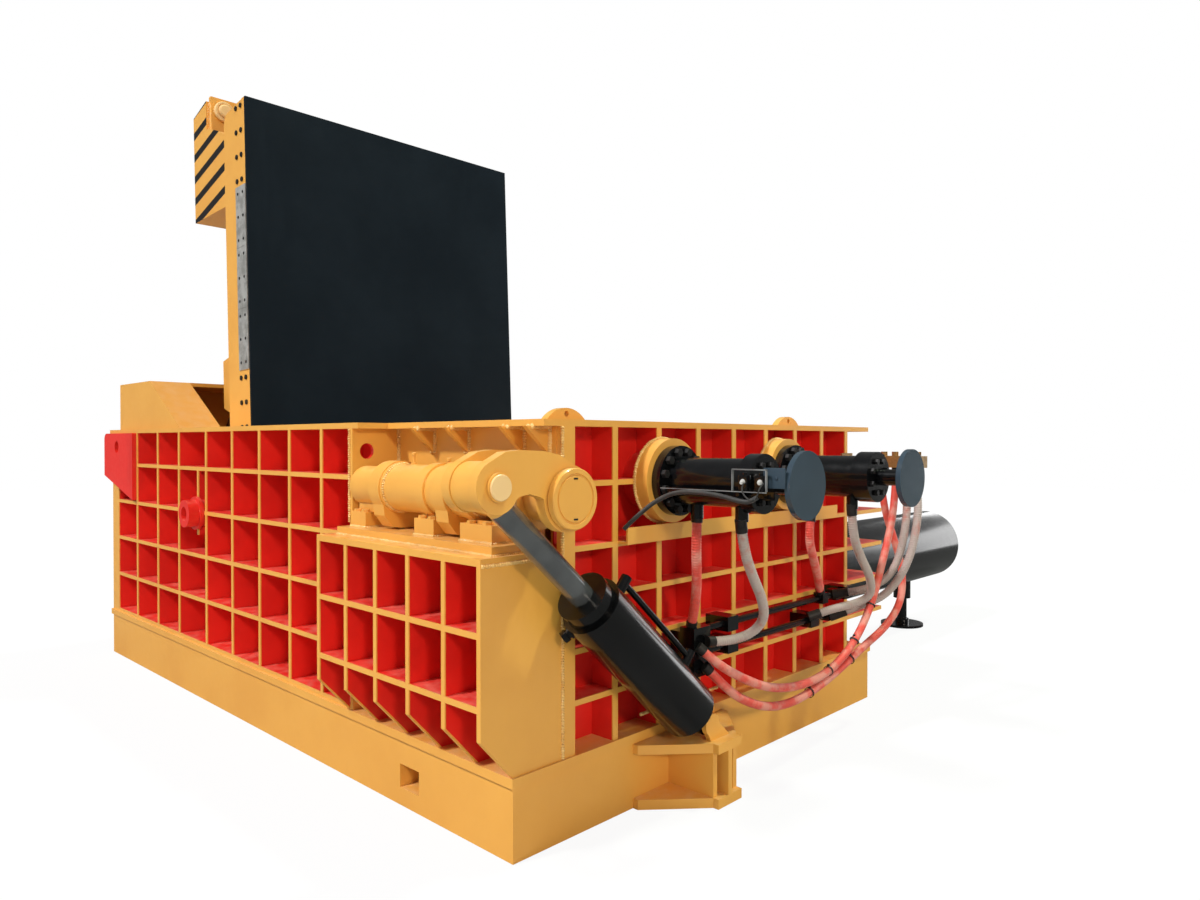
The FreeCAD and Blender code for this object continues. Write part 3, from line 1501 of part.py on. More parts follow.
# ---------------------------------------------------------------- bracket at the base
def foot_bracket():
    """Welded bracket on the base frame: two flanges, wings, gusset and the cylinder's ears."""
    y0 = front + bracket_place
    y1 = y0 + bracket_width
    x1 = right + bracket_reach
    z_under = bracket_top - bracket_top_plate
    pieces = [block(right, x1, y0, y1, z_under, bracket_top),
              block(right, x1, y0, y1, 0, bracket_bottom_plate),
              block(right, x1 - bracket_plate, y0, y0 + bracket_plate, 0, bracket_top),
              block(right, x1 - bracket_plate, y1 - bracket_plate, y1, 0, bracket_top)]
    mid = (y0 + y1 - bracket_plate) / 2
    pieces.append(block(right, x1, mid, mid + bracket_plate, 1, bracket_top - 1))
    for z0, z1 in ((z_under, bracket_top), (0, bracket_bottom_plate)):
        wing = [(right, y0 - bracket_wing), (right + bracket_plate, y0 - bracket_wing),
                (x1 - bracket_plate, y0), (x1 - bracket_plate, y1),
                (right + bracket_plate, y1 + bracket_wing), (right, y1 + bracket_wing)]
        pieces.append(plate_xy(wing, z0, z1))
    ear = [(y0 + bracket_ear_inset, bracket_top - 1), (y1 - bracket_ear_inset, bracket_top - 1),
           (turnout_foot.y + bracket_ear_radius, turnout_foot.z),
           (turnout_foot.y - bracket_ear_radius, turnout_foot.z)]
    for x in (crank_x - bracket_ear_gap / 2 - bracket_ear_plate, crank_x + bracket_ear_gap / 2):
        pieces.append(plate_yz(ear, x, x + bracket_ear_plate))
        pieces.append(rod(V(x, turnout_foot.y, turnout_foot.z), X, bracket_ear_plate,
                          2 * bracket_ear_radius))
    return join(pieces)


# ---------------------------------------------------------------- pipes on the lock-end wall
pipe_x = right + pipe_offset


def pipe_runs():
    """Height and ends of the two pipes."""
    return ((upper_pipe_height, front + upper_pipe_ends[0], front + upper_pipe_ends[1]),
            (lower_pipe_height, front + lower_pipe_ends[0], front + lower_pipe_ends[1]))


def pipes():
    return group([rod(V(pipe_x, y0, z), Y, y1 - y0, pipe_diameter)
                  for z, y0, y1 in pipe_runs()])


def port_block():
    """Block on a stand-off plate, where both pipes end and four hoses leave."""
    y0 = front + port_block_place
    y1 = y0 + port_block_width
    body = block(pipe_x - port_block_half, pipe_x + port_block_half, y0, y1,
                 port_block_bottom, upper_pipe_height + port_block_lip)
    stand = block(right, pipe_x - port_block_half, y0, y1, port_block_bottom + port_block_lip,
                  upper_pipe_height)
    return join([body, stand])


def pipe_clamps():
    """Clamp blocks round the pipes, each on a foot from the wall, and the tee blocks."""
    clamps = []
    half = clamp_height / 2
    for place, z in ((clamp_places[0], upper_pipe_height), (clamp_places[1], upper_pipe_height),
                     (clamp_places[2], lower_pipe_height), (clamp_places[3], lower_pipe_height)):
        y = front + place
        clamps.append(block(right, pipe_x + half, y, y + clamp_length, z - half, z + half))
    half = tee_size / 2
    for place, z in ((tee_places[0], upper_pipe_height), (tee_places[1], upper_pipe_height),
                     (tee_places[2], lower_pipe_height), (tee_places[3], lower_pipe_height)):
        y = front + place
        clamps.append(block(pipe_x - half, pipe_x + half, y - half, y + half, z - half, z + half))
    return group(clamps).cut(built["pipes"])


def manifold():
    """Valve block on an arm from the wall, with plugs on its outer face."""
    y0 = rear - manifold_rear_inset
    y1 = y0 + manifold_width
    x0, x1 = right + manifold_start, right + manifold_end
    z0 = body_height - manifold_drop
    z1 = z0 + manifold_depth
    pieces = [block(x0, x1, y0, y1, z0, z1),
              block(right, x0 + 1, y0 + manifold_arm, y1 - manifold_arm, z0 + 8, z1 - 8),
              block(right, right + manifold_arm, y0 - manifold_arm, y1 + manifold_arm,
                    z0 - manifold_arm, z1 + manifold_arm)]
    for n in range(manifold_plugs):
        x = x0 + (x1 - x0) * (n + 0.5) / manifold_plugs
        pieces.append(rod(V(x, (y0 + y1) / 2, z1 - 1), Z, manifold_plug_length + 1,
                          manifold_plug_diameter))
    return join(pieces)


# ---------------------------------------------------------------- hoses
hose_routes = {
    "hose_near_front": [(2706, -606, 1329), (2700, -605, 1222), (2670, -558, 1074),
                        (2630, -513, 945), (2597, -500, 836)],
    "hose_near_tail": [(2954, -605, 1301), (2950, -583, 1219), (2925, -481, 1093),
                       (2880, -329, 962), (2820, -209, 840), (2752, -214, 755),
                       (2700, -335, 730), (2672, -425, 738)],
    "hose_far_front": [(2706, 422, 1262), (2706, 402, 1161), (2680, 508, 1037),
                       (2640, 625, 918), (2610, 700, 840)],
    "hose_far_tail": [(2953, 422, 1312), (2950, 440, 1204), (2930, 560, 1078),
                      (2890, 774, 929), (2840, 878, 806), (2780, 800, 763),
                      (2720, 676, 749), (2660, 613, 721)],
    "hose_drop_near": [(2900, 1210, 1480), (2930, 1160, 1350), (2940, 1120, 1210),
                       (2910, 1110, 1030), (2870, 1070, 910), (2810, 1000, 850),
                       (2750, 920, 820), (2690, 895, 808)],
    "hose_drop_far": [(2960, 1210, 1480), (2994, 1170, 1360), (2998, 1140, 1210),
                      (2980, 1100, 1040), (2932, 1060, 900), (2860, 1000, 790),
                      (2770, 920, 740), (2690, 860, 700)],
    "hose_long_upper": [(2668, -500, 700), (2712, -450, 640), (2745, -310, 555),
                        (2775, -110, 465), (2790, 150, 420), (2795, 420, 430),
                        (2800, 650, 500), (2825, 780, 620), (2840, 890, 770),
                        (2838, 1000, 940), (2828, 1120, 1110), (2818, 1222, 1280),
                        (2815, 1250, 1440)],
    "hose_long_lower": [(2674, -460, 600), (2712, -400, 525), (2740, -290, 440),
                        (2770, -120, 370), (2790, 70, 350), (2790, 330, 370),
                        (2790, 590, 425), (2800, 850, 505), (2820, 1130, 590),
                        (2835, 1300, 720), (2830, 1325, 910), (2795, 1280, 1100),
                        (2755, 1228, 1280), (2748, 1203, 1430)],
}
hose_starts = {"hose_near_front": 60.0, "hose_near_tail": 60.0, "hose_far_front": 100.0,
               "hose_far_tail": 60.0, "hose_drop_near": 75.0, "hose_drop_far": 75.0,
               "hose_long_upper": 40.0, "hose_long_lower": 40.0}
hose_ends = {"hose_near_front": 60.0, "hose_near_tail": 40.0, "hose_far_front": 60.0,
             "hose_far_tail": 72.0, "hose_drop_near": 90.0, "hose_drop_far": 100.0,
             "hose_long_upper": 115.0, "hose_long_lower": 125.0}


def turn_at(p0, p1, p2):
    return (p1 - p0).getAngle(p2 - p1)


def arc_radius(p0, p1, p2):
    run = min((p1 - p0).Length, (p2 - p1).Length)
    return 0.45 * run / math.tan(turn_at(p0, p1, p2) / 2)


def hose_tube(name):
    """Round tube along straight runs joined by tangent arcs."""
    points = [V(*p) for p in hose_routes[name]]
    edges = []
    start = points[0]
    length = 0.0
    least = 1e9
    for p0, p1, p2 in zip(points, points[1:], points[2:]):
        back = 0.45 * min((p1 - p0).Length, (p2 - p1).Length)
        into = (p1 - p0).normalize()
        out = (p2 - p1).normalize()
        a, b = p1 - into * back, p1 + out * back
        radius = arc_radius(p0, p1, p2)
        middle_way = (a + b) * 0.5 - p1
        half = turn_at(p0, p1, p2) / 2
        centre_distance = radius / math.cos(half)
        middle = p1 + middle_way.normalize() * (centre_distance - radius)
        edges.append(Part.LineSegment(start, a).toShape())
        edges.append(Part.Arc(a, middle, b).toShape())
        length += (a - start).Length + radius * 2 * half
        least = min(least, radius)
        start = b
    edges.append(Part.LineSegment(start, points[-1]).toShape())
    length += (points[-1] - start).Length
    path = Part.Wire(edges)
    heading = (points[1] - points[0]).normalize()
    ring = Part.Wire([Part.makeCircle(hose_diameter / 2, points[0], heading)])
    shape = path.makePipeShell([ring], True, False)
    section = math.pi * hose_diameter ** 2 / 4
    print("%s length %.0f least radius %.0f volume %.4f of section x length"
          % (name, length, least, abs(shape.Volume) / (section * length)))
    return shape


def hose_fittings(names):
    """Crimped ends that join each hose to its port, block or pipe."""
    pieces = []
    for name in names:
        points = [V(*p) for p in hose_routes[name]]
        into = (points[0] - points[1]).normalize()
        out = (points[-1] - points[-2]).normalize()
        pieces.append(rod(points[0], into, hose_starts[name], fitting_diameter))
        pieces.append(rod(points[-1], out, hose_ends[name], fitting_diameter))
    solid = group(pieces)
    for other in ("pipes", "pipe_blocks", "manifold", "lock_barrels"):
        solid = solid.cut(built[other])
    keep = []
    for piece in solid.Solids:
        touching = [points for points in hose_routes.values()
                    if min(piece.distToShape(Part.Vertex(V(*points[0])))[0],
                           piece.distToShape(Part.Vertex(V(*points[-1])))[0]) < 1]
        if touching:
            keep.append(piece)
    return group(keep)


# ---------------------------------------------------------------- all pieces
export("base_frame", base_frame())
export("front_wall", front_wall())
export("chamber_liners", group([near_liner(), far_liner()]))
export("bearing_box", bearing_box())
export("shaft_bay", shaft_bay())
export("lock_wall", join([lock_wall(), cable_ledge()] + lock_rings().Solids))
export("lid_seat", lid_seat())
export("rear_wall", rear_wall())
export("end_wall", join([end_wall()] + lid_feet().Solids))
export("chamber_floor", chamber_floor())
export("top_plate", join([top_sheet()] + lifting_lugs().Solids))
export("hood", cylinder_hood())
near_lug = lug_plate_at_end()
export("lug_plates", group([near_lug, mirror_y(near_lug, 0)]))
export("pivot_bosses", pivot_bosses())
export("pivot_shaft", pivot_shaft())
export("side_barrels", side_barrels())
export("main_barrel", join([main_barrel(), jack_head(main_barrel())]))
export("pillow_blocks", pillow_blocks())
export("pillow_bolts", pillow_bolts())
export("foot_bracket", foot_bracket())
export("lock_barrels", lock_barrels())
export("lock_caps", lock_caps())
export("cylinder_bolts", cylinder_bolts())
export("sensor_rail", sensor_rail())
export("pipes", pipes())
export("pipe_blocks", group([port_block().cut(built["pipes"])] + pipe_clamps().Solids))
export("manifold", manifold())

export("lid", lid_body())
export("lid_liner", lid_face())
export("landing_box", tilt(join([landing_box(), landing_plate_piece()])))
export("lid_wear_strips", lid_wear_strips())
export("lid_bolts", lid_bolts())
export("lid_ears", lid_ears())
for side, y in zip(("near", "far"), lid_cylinders_y()):
    export("lid_rod_" + side, lid_rod(y))
    export("lid_barrel_" + side, lid_barrel(y))

export("side_ram", side_ram_box())
export("side_rods", side_rods())
export("main_ram", main_ram_block())
export("main_rod", main_rod())
for side, y in zip(("near", "far"), lid_locks_y()):
    export("lock_bolt_" + side, lock_bolt(y))
export("jack_foot", jack_foot_piece())

export("turnout_shaft", turnout_shaft())
export("crank_plates", crank_plates())
export("crank_pin", crank_pin())
export("turnout_flap", turnout_flap())
export("turnout_rod", turnout_rod())
export("turnout_barrel", turnout_barrel())

for hose in hose_routes:
    export(hose, hose_tube(hose))
export("hose_fittings", hose_fittings(list(hose_routes)))
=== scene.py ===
"""Dressed model of a hydraulic scrap baler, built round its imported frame.

The frame gives every plate, cylinder and ram. This file adds the finishes and the
small parts on top: hoses, sleeves and ties, weld beads, screws, caps, the port on the
turn-out cylinder and the switch frame. Lengths are metres, +Z is up, -Y is the long
ribbed side and +X the end with the two lid lock cylinders.
"""

import logging
import math
from abc import ABC, abstractmethod
from dataclasses import dataclass
from enum import Enum
from functools import reduce
from typing import Dict, List, Optional, Sequence, Tuple

import bmesh
import bpy
from mathutils import Matrix, Vector


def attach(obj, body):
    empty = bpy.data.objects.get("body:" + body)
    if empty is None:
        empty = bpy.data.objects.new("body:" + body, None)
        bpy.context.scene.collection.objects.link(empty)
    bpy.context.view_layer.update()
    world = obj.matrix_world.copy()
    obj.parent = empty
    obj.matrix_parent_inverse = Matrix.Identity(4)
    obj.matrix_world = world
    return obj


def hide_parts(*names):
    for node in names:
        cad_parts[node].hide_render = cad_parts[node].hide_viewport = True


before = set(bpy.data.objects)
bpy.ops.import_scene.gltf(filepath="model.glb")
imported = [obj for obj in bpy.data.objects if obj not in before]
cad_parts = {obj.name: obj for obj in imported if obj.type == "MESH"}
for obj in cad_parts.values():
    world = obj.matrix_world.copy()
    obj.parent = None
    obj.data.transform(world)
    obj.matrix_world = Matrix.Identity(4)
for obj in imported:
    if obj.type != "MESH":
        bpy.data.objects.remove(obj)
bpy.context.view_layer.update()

LOG = logging.getLogger("baler")
FULL_TURN = 2 * math.pi
Point = Tuple[float, float, float]
Colour = Tuple[float, float, float]
Line = Sequence[Point]
Values = Dict[object, object]
Material, Node, Piece = bpy.types.Material, bpy.types.Node, bpy.types.Object
Socket, Tree = bpy.types.NodeSocket, bpy.types.NodeTree
Sockets = Dict[str, Socket]


class Body(str, Enum):
    """Moving bodies of the frame that pieces ride on."""

    BALER = "baler"
    LID = "lid"
    TURNOUT = "turnout"
    TURNOUT_BARREL = "turnout_barrel"
    LOCK_NEAR = "lock_bolt_near"


class Slot(str, Enum):
    """Material slots of the record."""

    YELLOW = "yellow_paint"
    RED = "red_paint"
    BLACK = "black_paint"
    DARK = "dark_face"
    BOLT = "dark_bolt"
    HOSE = "hose_rubber"


class Sleeve(Enum):
    """How a hose is covered."""

    RED = "red_sleeve"
    FADED = "faded_sleeve"
    RUBBER = "black_rubber"


# ------------------------------------------------------------------ node sheets
class NodeSheet:
    """Short hand for adding and joining the nodes of one tree."""

    def __init__(self, tree: Tree) -> None:
        """Args:
            tree: the shader or geometry tree that the nodes go into.
        """
        self.tree = tree

    def feed(self, socket: Socket, value: object) -> None:
        """Joins an output to a socket, or sets the socket's own value.

        Args:
            socket: the input socket.
            value: an output socket, or a plain value.
        """
        if isinstance(value, Socket):
            self.tree.links.new(value, socket)
        else:
            socket.default_value = value

    def add(self, kind: str, inputs: Optional[Values] = None, **settings: object) -> Node:
        """Adds a node.

        Args:
            kind: the node's type name.
            inputs: what its input sockets get, by name or number.
            settings: properties to set on it.

        Returns:
            The new node.
        """
        node = self.tree.nodes.new(kind)
        for name, value in settings.items():
            setattr(node, name, value)
        for key, value in (inputs or {}).items():
            self.feed(node.inputs[key], value)
        return node

    def math(self, operation: str, *values: object, clamp: bool = False) -> Socket:
        """Adds a Math node.

        Args:
            operation: the operation's name.
            values: its inputs.
            clamp: whether the result stays between 0 and 1.

        Returns:
            The result's socket.
        """
        return self.add("ShaderNodeMath", dict(enumerate(values)), operation=operation,
                        use_clamp=clamp).outputs[0]

    def vector(self, operation: str, *values: object) -> Socket:
        """Adds a Vector Math node.

        Args:
            operation: the operation's name.
            values: its inputs.

        Returns:
            The result's socket, a number for a dot product.
        """
        node = self.add("ShaderNodeVectorMath", dict(enumerate(values)), operation=operation)
        return node.outputs["Value" if operation == "DOT_PRODUCT" else "Vector"]

    def scaled(self, vector: Socket, factor: object) -> Socket:
        """Multiplies a vector by a number.

        Args:
            vector: the vector's socket.
            factor: the number, or its socket.

        Returns:
            The result's socket.
        """
        return self.add("ShaderNodeVectorMath", {0: vector, "Scale": factor},
                        operation="SCALE").outputs[0]

    def parts(self, vector: Socket) -> List[Socket]:
        """Takes a vector apart.

        Args:
            vector: the vector's socket.

        Returns:
            The sockets of its x, y and z.
        """
        return list(self.add("ShaderNodeSeparateXYZ", {0: vector}).outputs)

    def place(self) -> Socket:
        """Reads where the shaded point is on its object.

        Returns:
            The socket of the Object coordinates.
        """
        return self.add("ShaderNodeTexCoord").outputs["Object"]

    def mix(self, factor: object, low: object, high: object) -> Socket:
        """Mixes two colours.

        Args:
            factor: share of the second colour.
            low: first colour.
            high: second colour.

        Returns:
            The mixed colour's socket.
        """
        node = self.add("ShaderNodeMix", data_type="RGBA")
        for key, value in ((0, factor), (6, low), (7, high)):
            self.feed(node.inputs[key], value)
        return node.outputs[2]

    def ramp(self, value: Socket, low: float, high: float) -> Socket:
        """Stretches a value so that low gives 0 and high gives 1, held at both ends.

        Args:
            value: the value's socket.
            low: value that gives 0.
            high: value that gives 1.

        Returns:
            The stretched value's socket.
        """
        return self.add("ShaderNodeMapRange", dict(enumerate((value, low, high, 0.0, 1.0))),
                        interpolation_type="SMOOTHSTEP").outputs[0]

    def noise(self, place: Socket, scale: object, detail: float = 3.0,
              rough: float = 0.55) -> Socket:
        """Adds a noise texture.

        Args:
            place: the point at which it is read.
            scale: its scale.
            detail: its octaves.
            rough: weight of the fine octaves.

        Returns:
            The noise value's socket.
        """
        return self.add("ShaderNodeTexNoise", {
            "Vector": place, "Scale": scale, "Detail": detail, "Roughness": rough}).outputs[0]


FLOAT, VECTOR, COLOUR = "NodeSocketFloat", "NodeSocketVector", "NodeSocketColor"
WHOLE, GEOMETRY, MATERIAL = "NodeSocketInt", "NodeSocketGeometry", "NodeSocketMaterial"
SURFACE = {"Colour": COLOUR, "Roughness": FLOAT, "Height": FLOAT}


class Group(NodeSheet):
    """A node group with named sockets."""

    def __init__(self, name: str, inputs: Dict[str, object], outputs: Dict[str, str],
                 kind: str = "ShaderNodeTree") -> None:
        """Args:
            name: the group's name.
            inputs: each input's default, or its socket type where it has none.
            outputs: each output's socket type.
            kind: ShaderNodeTree or GeometryNodeTree.
        """
        super().__init__(bpy.data.node_groups.new(name, kind))
        sockets = self.tree.interface.new_socket
        for label, default in inputs.items():
            socket = sockets(label, in_out="INPUT", socket_type=self._sort(default))
            if not isinstance(default, str):
                socket.default_value = default
        for label, sort in outputs.items():
            sockets(label, in_out="OUTPUT", socket_type=sort)
        self.given = self.add("NodeGroupInput").outputs
        self.out = self.add("NodeGroupOutput").inputs

    @staticmethod
    def _sort(default: object) -> str:
        """Socket type that suits a default.

        Args:
            default: a number, vector or colour, or the socket type itself.

        Returns:
            The socket type.
        """
        if isinstance(default, str):
            return default
        if isinstance(default, tuple):
            return VECTOR if len(default) == 3 else COLOUR
        return WHOLE if isinstance(default, int) else FLOAT

    def give(self, **values: Socket) -> Tree:
        """Feeds the group's outputs.

        Args:
            values: what each output gets.

        Returns:
            The finished tree.
        """
        for label, value in values.items():
            self.feed(self.out[label], value)
        return self.tree


class EffectShelf:
    """Shader node groups that several finishes share."""

    def __init__(self) -> None:
        """Builds every group once."""
        self.film = self._film()
        self.cells = self._cells()
        self.grain = self._grain()
        self.stripes = self._stripes()
        self.rings = self._rings()

    @staticmethod
    def _film() -> Tree:
        """Paint film with clouding, streaks of the shade colour, orange peel, and a paler colour
        on upward faces that stands for settled dust and also for painted light on lit tops.

        Returns:
            The group.
        """
        sheet = Group("paint_film", {
            "Colour": (0.8, 0.4, 0.07, 1), "Shade": (0.5, 0.2, 0.03, 1),
            "Dust and lit tops": (0.8, 0.72, 0.6, 1), "Clouding": 0.35, "Dust and lit tops share": 0.2, "Gloss": 0.3,
            "Scale": 1.0}, SURFACE)
        cloud_scale, dust_and_lit_tops_scale, smear_scale, peel_scale, wave_scale = 2.2, 14.0, 26.0, 60.0, 7.0
        streak_stretch, streak_share = (9.0, 9.0, 1.3), 0.6
        given, math_node = sheet.given, sheet.math
        at = sheet.scaled(sheet.place(), given["Scale"])
        cloud = sheet.ramp(sheet.noise(at, cloud_scale, 4.0), 0.35, 0.72)
        streak = sheet.ramp(sheet.noise(sheet.vector("MULTIPLY", at, streak_stretch), 1.0),
                            0.55, 0.78)
        shade = math_node("MAXIMUM", cloud, math_node("MULTIPLY", streak, streak_share))
        body = sheet.mix(math_node("MULTIPLY", shade, given["Clouding"]), given["Colour"],
                         given["Shade"])
        # Paler colour on upward faces: settled dust, and painted light on the tops that face the
        # lamps.
        upward = sheet.parts(sheet.add("ShaderNodeNewGeometry").outputs["Normal"])[2]
        dust_and_lit_tops = math_node("MULTIPLY", sheet.ramp(upward, 0.6, 1.0),
                         sheet.ramp(sheet.noise(at, dust_and_lit_tops_scale, 5.0), 0.3, 0.8))
        dust_and_lit_tops = math_node("MULTIPLY", dust_and_lit_tops, given["Dust and lit tops share"], clamp=True)
        rough = math_node("MULTIPLY_ADD", sheet.noise(at, smear_scale), 0.16, given["Gloss"])
        return sheet.give(
            Colour=sheet.mix(dust_and_lit_tops, body, given["Dust and lit tops"]),
            Roughness=math_node("MULTIPLY_ADD", dust_and_lit_tops, 0.5, rough, clamp=True),
            Height=math_node("MULTIPLY_ADD", sheet.noise(at, peel_scale, 2.0), 0.4,
                             sheet.noise(at, wave_scale, 2.0)))

    @staticmethod
    def _cells() -> Tree:
        """Mask of the inside of two boxes, cut off by a slanted plane, with a sprayed edge.

        Returns:
            The group.
        """
        sheet = Group("cell_mask", {
            "Low": (0, 0, 0), "High": (1, 1, 1), "Second low": (9, 9, 9),
            "Second high": (9, 9, 9), "Slant": (0, 0, 0), "Slant reach": 1.0,
            "Waver": 0.003}, {"Mask": FLOAT})
        waver_scale = 22.0
        given, place = sheet.given, sheet.place()
        waver = sheet.math("MULTIPLY", sheet.math(
            "SUBTRACT", sheet.noise(place, waver_scale, 2.0), 0.5), given["Waver"])
        masks = []
        for low, high in (("Low", "High"), ("Second low", "Second high")):
            depths = (sheet.parts(sheet.vector("SUBTRACT", place, given[low]))
                      + sheet.parts(sheet.vector("SUBTRACT", given[high], place)))
            masks.append(reduce(lambda one, two: sheet.math("MINIMUM", one, two), depths))
        along = sheet.vector("DOT_PRODUCT", place, given["Slant"])
        inside = sheet.math("MINIMUM", sheet.math("MAXIMUM", *masks),
                            sheet.math("SUBTRACT", given["Slant reach"], along))
        return sheet.give(Mask=sheet.ramp(sheet.math("ADD", inside, waver), -0.0006, 0.0012))

    @staticmethod
    def _grain() -> Tree:
        """Ground or rolled steel: long fine lines with mottled patches.

        Returns:
            The group.
        """
        sheet = Group("steel_grain", {
            "Bright": (0.6, 0.6, 0.6, 1), "Dull": (0.3, 0.3, 0.3, 1),
            "Stretch": (60.0, 60.0, 4.0), "Patches": 5.0, "Gloss": 0.3}, SURFACE)
        line_scale, line_share, patch_share = 4.0, 0.45, 0.6
        given, place = sheet.given, sheet.place()
        lines = sheet.noise(sheet.vector("MULTIPLY", place, given["Stretch"]), line_scale)
        patch = sheet.ramp(sheet.noise(place, given["Patches"], 5.0, 0.65), 0.38, 0.66)
        shade = sheet.math("MULTIPLY_ADD", lines, line_share,
                           sheet.math("MULTIPLY", patch, patch_share), clamp=True)
        return sheet.give(
            Colour=sheet.mix(shade, given["Bright"], given["Dull"]),
            Roughness=sheet.math("MULTIPLY_ADD", shade, 0.25, given["Gloss"], clamp=True),
            Height=lines)

    @staticmethod
    def _stripes() -> Tree:
        """Mask of straight slanting stripes on the parts outside two planes.

        Returns:
            The group.
        """
        sheet = Group("slanting_stripes", {
            "Across": (0.5, 0, 0.8), "Pitch": 0.2, "Shift": 0.0, "Share": 0.4,
            "Near side": -1.0, "Far side": 1.0, "Reach": 9.0}, {"Mask": FLOAT})
        edge_blur = 0.008
        given, place = sheet.given, sheet.place()
        along = sheet.vector("DOT_PRODUCT", place, given["Across"])
        turn = sheet.math("FRACT", sheet.math(
            "DIVIDE", sheet.math("ADD", along, given["Shift"]), given["Pitch"]))
        centre = sheet.math("ABSOLUTE", sheet.math("SUBTRACT", turn, 0.5))
        band = sheet.math("SUBTRACT", sheet.math("MULTIPLY", given["Share"], 0.5), centre)
        x, y, _ = sheet.parts(place)
        sides = sheet.math("MAXIMUM", sheet.math("LESS_THAN", y, given["Near side"]),
                           sheet.math("GREATER_THAN", y, given["Far side"]))
        kept = sheet.math("MULTIPLY", sides, sheet.math("LESS_THAN", x, given["Reach"]))
        return sheet.give(
            Mask=sheet.math("MULTIPLY", sheet.ramp(band, -edge_blur, edge_blur), kept))

    @staticmethod
    def _rings() -> Tree:
        """Rings of turning marks, read as bands across one direction.

        Returns:
            The group.
        """
        sheet = Group("turning_rings", {"Along": (1, 0, 0), "Rings": 400.0, "Gloss": 0.12},
                      {"Roughness": FLOAT, "Height": FLOAT})
        smear_scale = 12.0
        given, place = sheet.given, sheet.place()
        along = sheet.vector("DOT_PRODUCT", place, given["Along"])
        wave = sheet.math("SINE", sheet.math("MULTIPLY", along, given["Rings"]))
        smear = sheet.noise(place, smear_scale, 4.0)
        return sheet.give(Roughness=sheet.math("MULTIPLY_ADD", smear, 0.2, given["Gloss"]),
                          Height=sheet.math("MULTIPLY_ADD", wave, 0.3, smear))


# ------------------------------------------------------------------ finishes
@dataclass(frozen=True)
class Coating:
    """How one coat of paint looks."""

    colour: Colour
    shade: Colour
    # Paler colour laid on upward faces, and how much of it: dust, and painted light on lit tops.
    dust_and_lit_tops: Colour = (0.86, 0.74, 0.58)
    clouding: float = 0.35
    dust_and_lit_tops_share: float = 0.2
    gloss: float = 0.3
    scale: float = 1.0
    bump: float = 0.05
    coat: float = 0.25
    specular: float = 0.5


GOLD = Coating((0.82, 0.41, 0.075), (0.70, 0.30, 0.045), clouding=0.35, dust_and_lit_tops_share=0.22,
               coat=0.35)
BEAD = Coating((0.90, 0.60, 0.22), (0.72, 0.36, 0.08), clouding=0.8, dust_and_lit_tops_share=0.3, gloss=0.2,
               scale=6.0, coat=0.5)
# Scarlet's pale salmon on upward faces is painted light on the lit tops of the ribs and shelves,
# as well as dust.
SCARLET = Coating((0.82, 0.022, 0.014), (0.52, 0.010, 0.008), dust_and_lit_tops=(0.90, 0.30, 0.22),
                  clouding=0.45, dust_and_lit_tops_share=0.60)
JET = Coating((0.0022, 0.0024, 0.0030), (0.0044, 0.0050, 0.0064), dust_and_lit_tops=(0.10, 0.10, 0.10),
              clouding=0.6, dust_and_lit_tops_share=0.08, gloss=0.12, bump=0.03, coat=0.45, specular=0.40)
SLATE = Coating((0.038, 0.062, 0.088), (0.024, 0.038, 0.052), dust_and_lit_tops=(0.2, 0.24, 0.28),
                clouding=0.5, dust_and_lit_tops_share=0.1, gloss=0.42, bump=0.03, coat=0.0, specular=0.2)
NIGHT = Coating((0.0052, 0.0105, 0.0180), (0.0095, 0.0168, 0.0265), dust_and_lit_tops=(0.2, 0.24, 0.28),
                clouding=0.75, dust_and_lit_tops_share=0.1, gloss=0.42, scale=0.55, bump=0.03, coat=0.0,
                specular=0.12)
CREAM = Coating((0.88, 0.60, 0.28), (0.82, 0.50, 0.20), clouding=0.4, dust_and_lit_tops_share=0.1)
# Grey of the switch frame, also laid on the rail's edge as a painted highlight.
FRAME_GREY_AND_HIGHLIGHT = Coating((0.22, 0.23, 0.24), (0.05, 0.05, 0.055), clouding=0.8, scale=5.0, coat=0.0)
TIE = Coating((0.012, 0.012, 0.013), (0.02, 0.02, 0.02), clouding=0.3, gloss=0.4, coat=0.0)
GREY = Coating((0.55, 0.56, 0.55), (0.42, 0.43, 0.43), clouding=0.4, gloss=0.35, coat=0.0)


class Finish(NodeSheet):
    """The sheet of one material."""

    def __init__(self, name: str) -> None:
        """Args:
            name: the material's name.
        """
        self.material = bpy.data.materials.new(name)
        self.material.use_nodes = True
        super().__init__(self.material.node_tree)
        self.shader = self.tree.nodes["Principled BSDF"]

    def group(self, tree: Tree, values: Values) -> Sockets:
        """Places a shared group.

        Args:
            tree: the group.
            values: its inputs by name.

        Returns:
            Its outputs.
        """
        return self.add("ShaderNodeGroup", values, node_tree=tree).outputs

    def dress(self, values: Dict[str, object]) -> None:
        """Feeds the Principled BSDF.

        Args:
            values: its inputs by name.
        """
        for name, value in values.items():
            self.feed(self.shader.inputs[name], value)

    def relief(self, height: Socket, strength: float, distance: float) -> None:
        """Feeds a height to the shader's normal.

        Args:
            height: the height's socket.
            strength: the bump's strength.
            distance: the bump's depth in metres.
        """
        bump = self.add("ShaderNodeBump", {"Strength": strength, "Distance": distance,
                                           "Height": height})
        self.dress({"Normal": bump.outputs[0]})

    def tint(self, scale: float, bright: Colour, dull: Colour) -> Socket:
        """Mottles two tints of polished metal.

        Args:
            scale: scale of the patches.
            bright: the clean tint.
            dull: the tint of the patches.

        Returns:
            The colour's socket.
        """
        patch = self.ramp(self.noise(self.place(), scale, 4.0), 0.35, 0.7)
        return self.mix(patch, (*bright, 1), (*dull, 1))


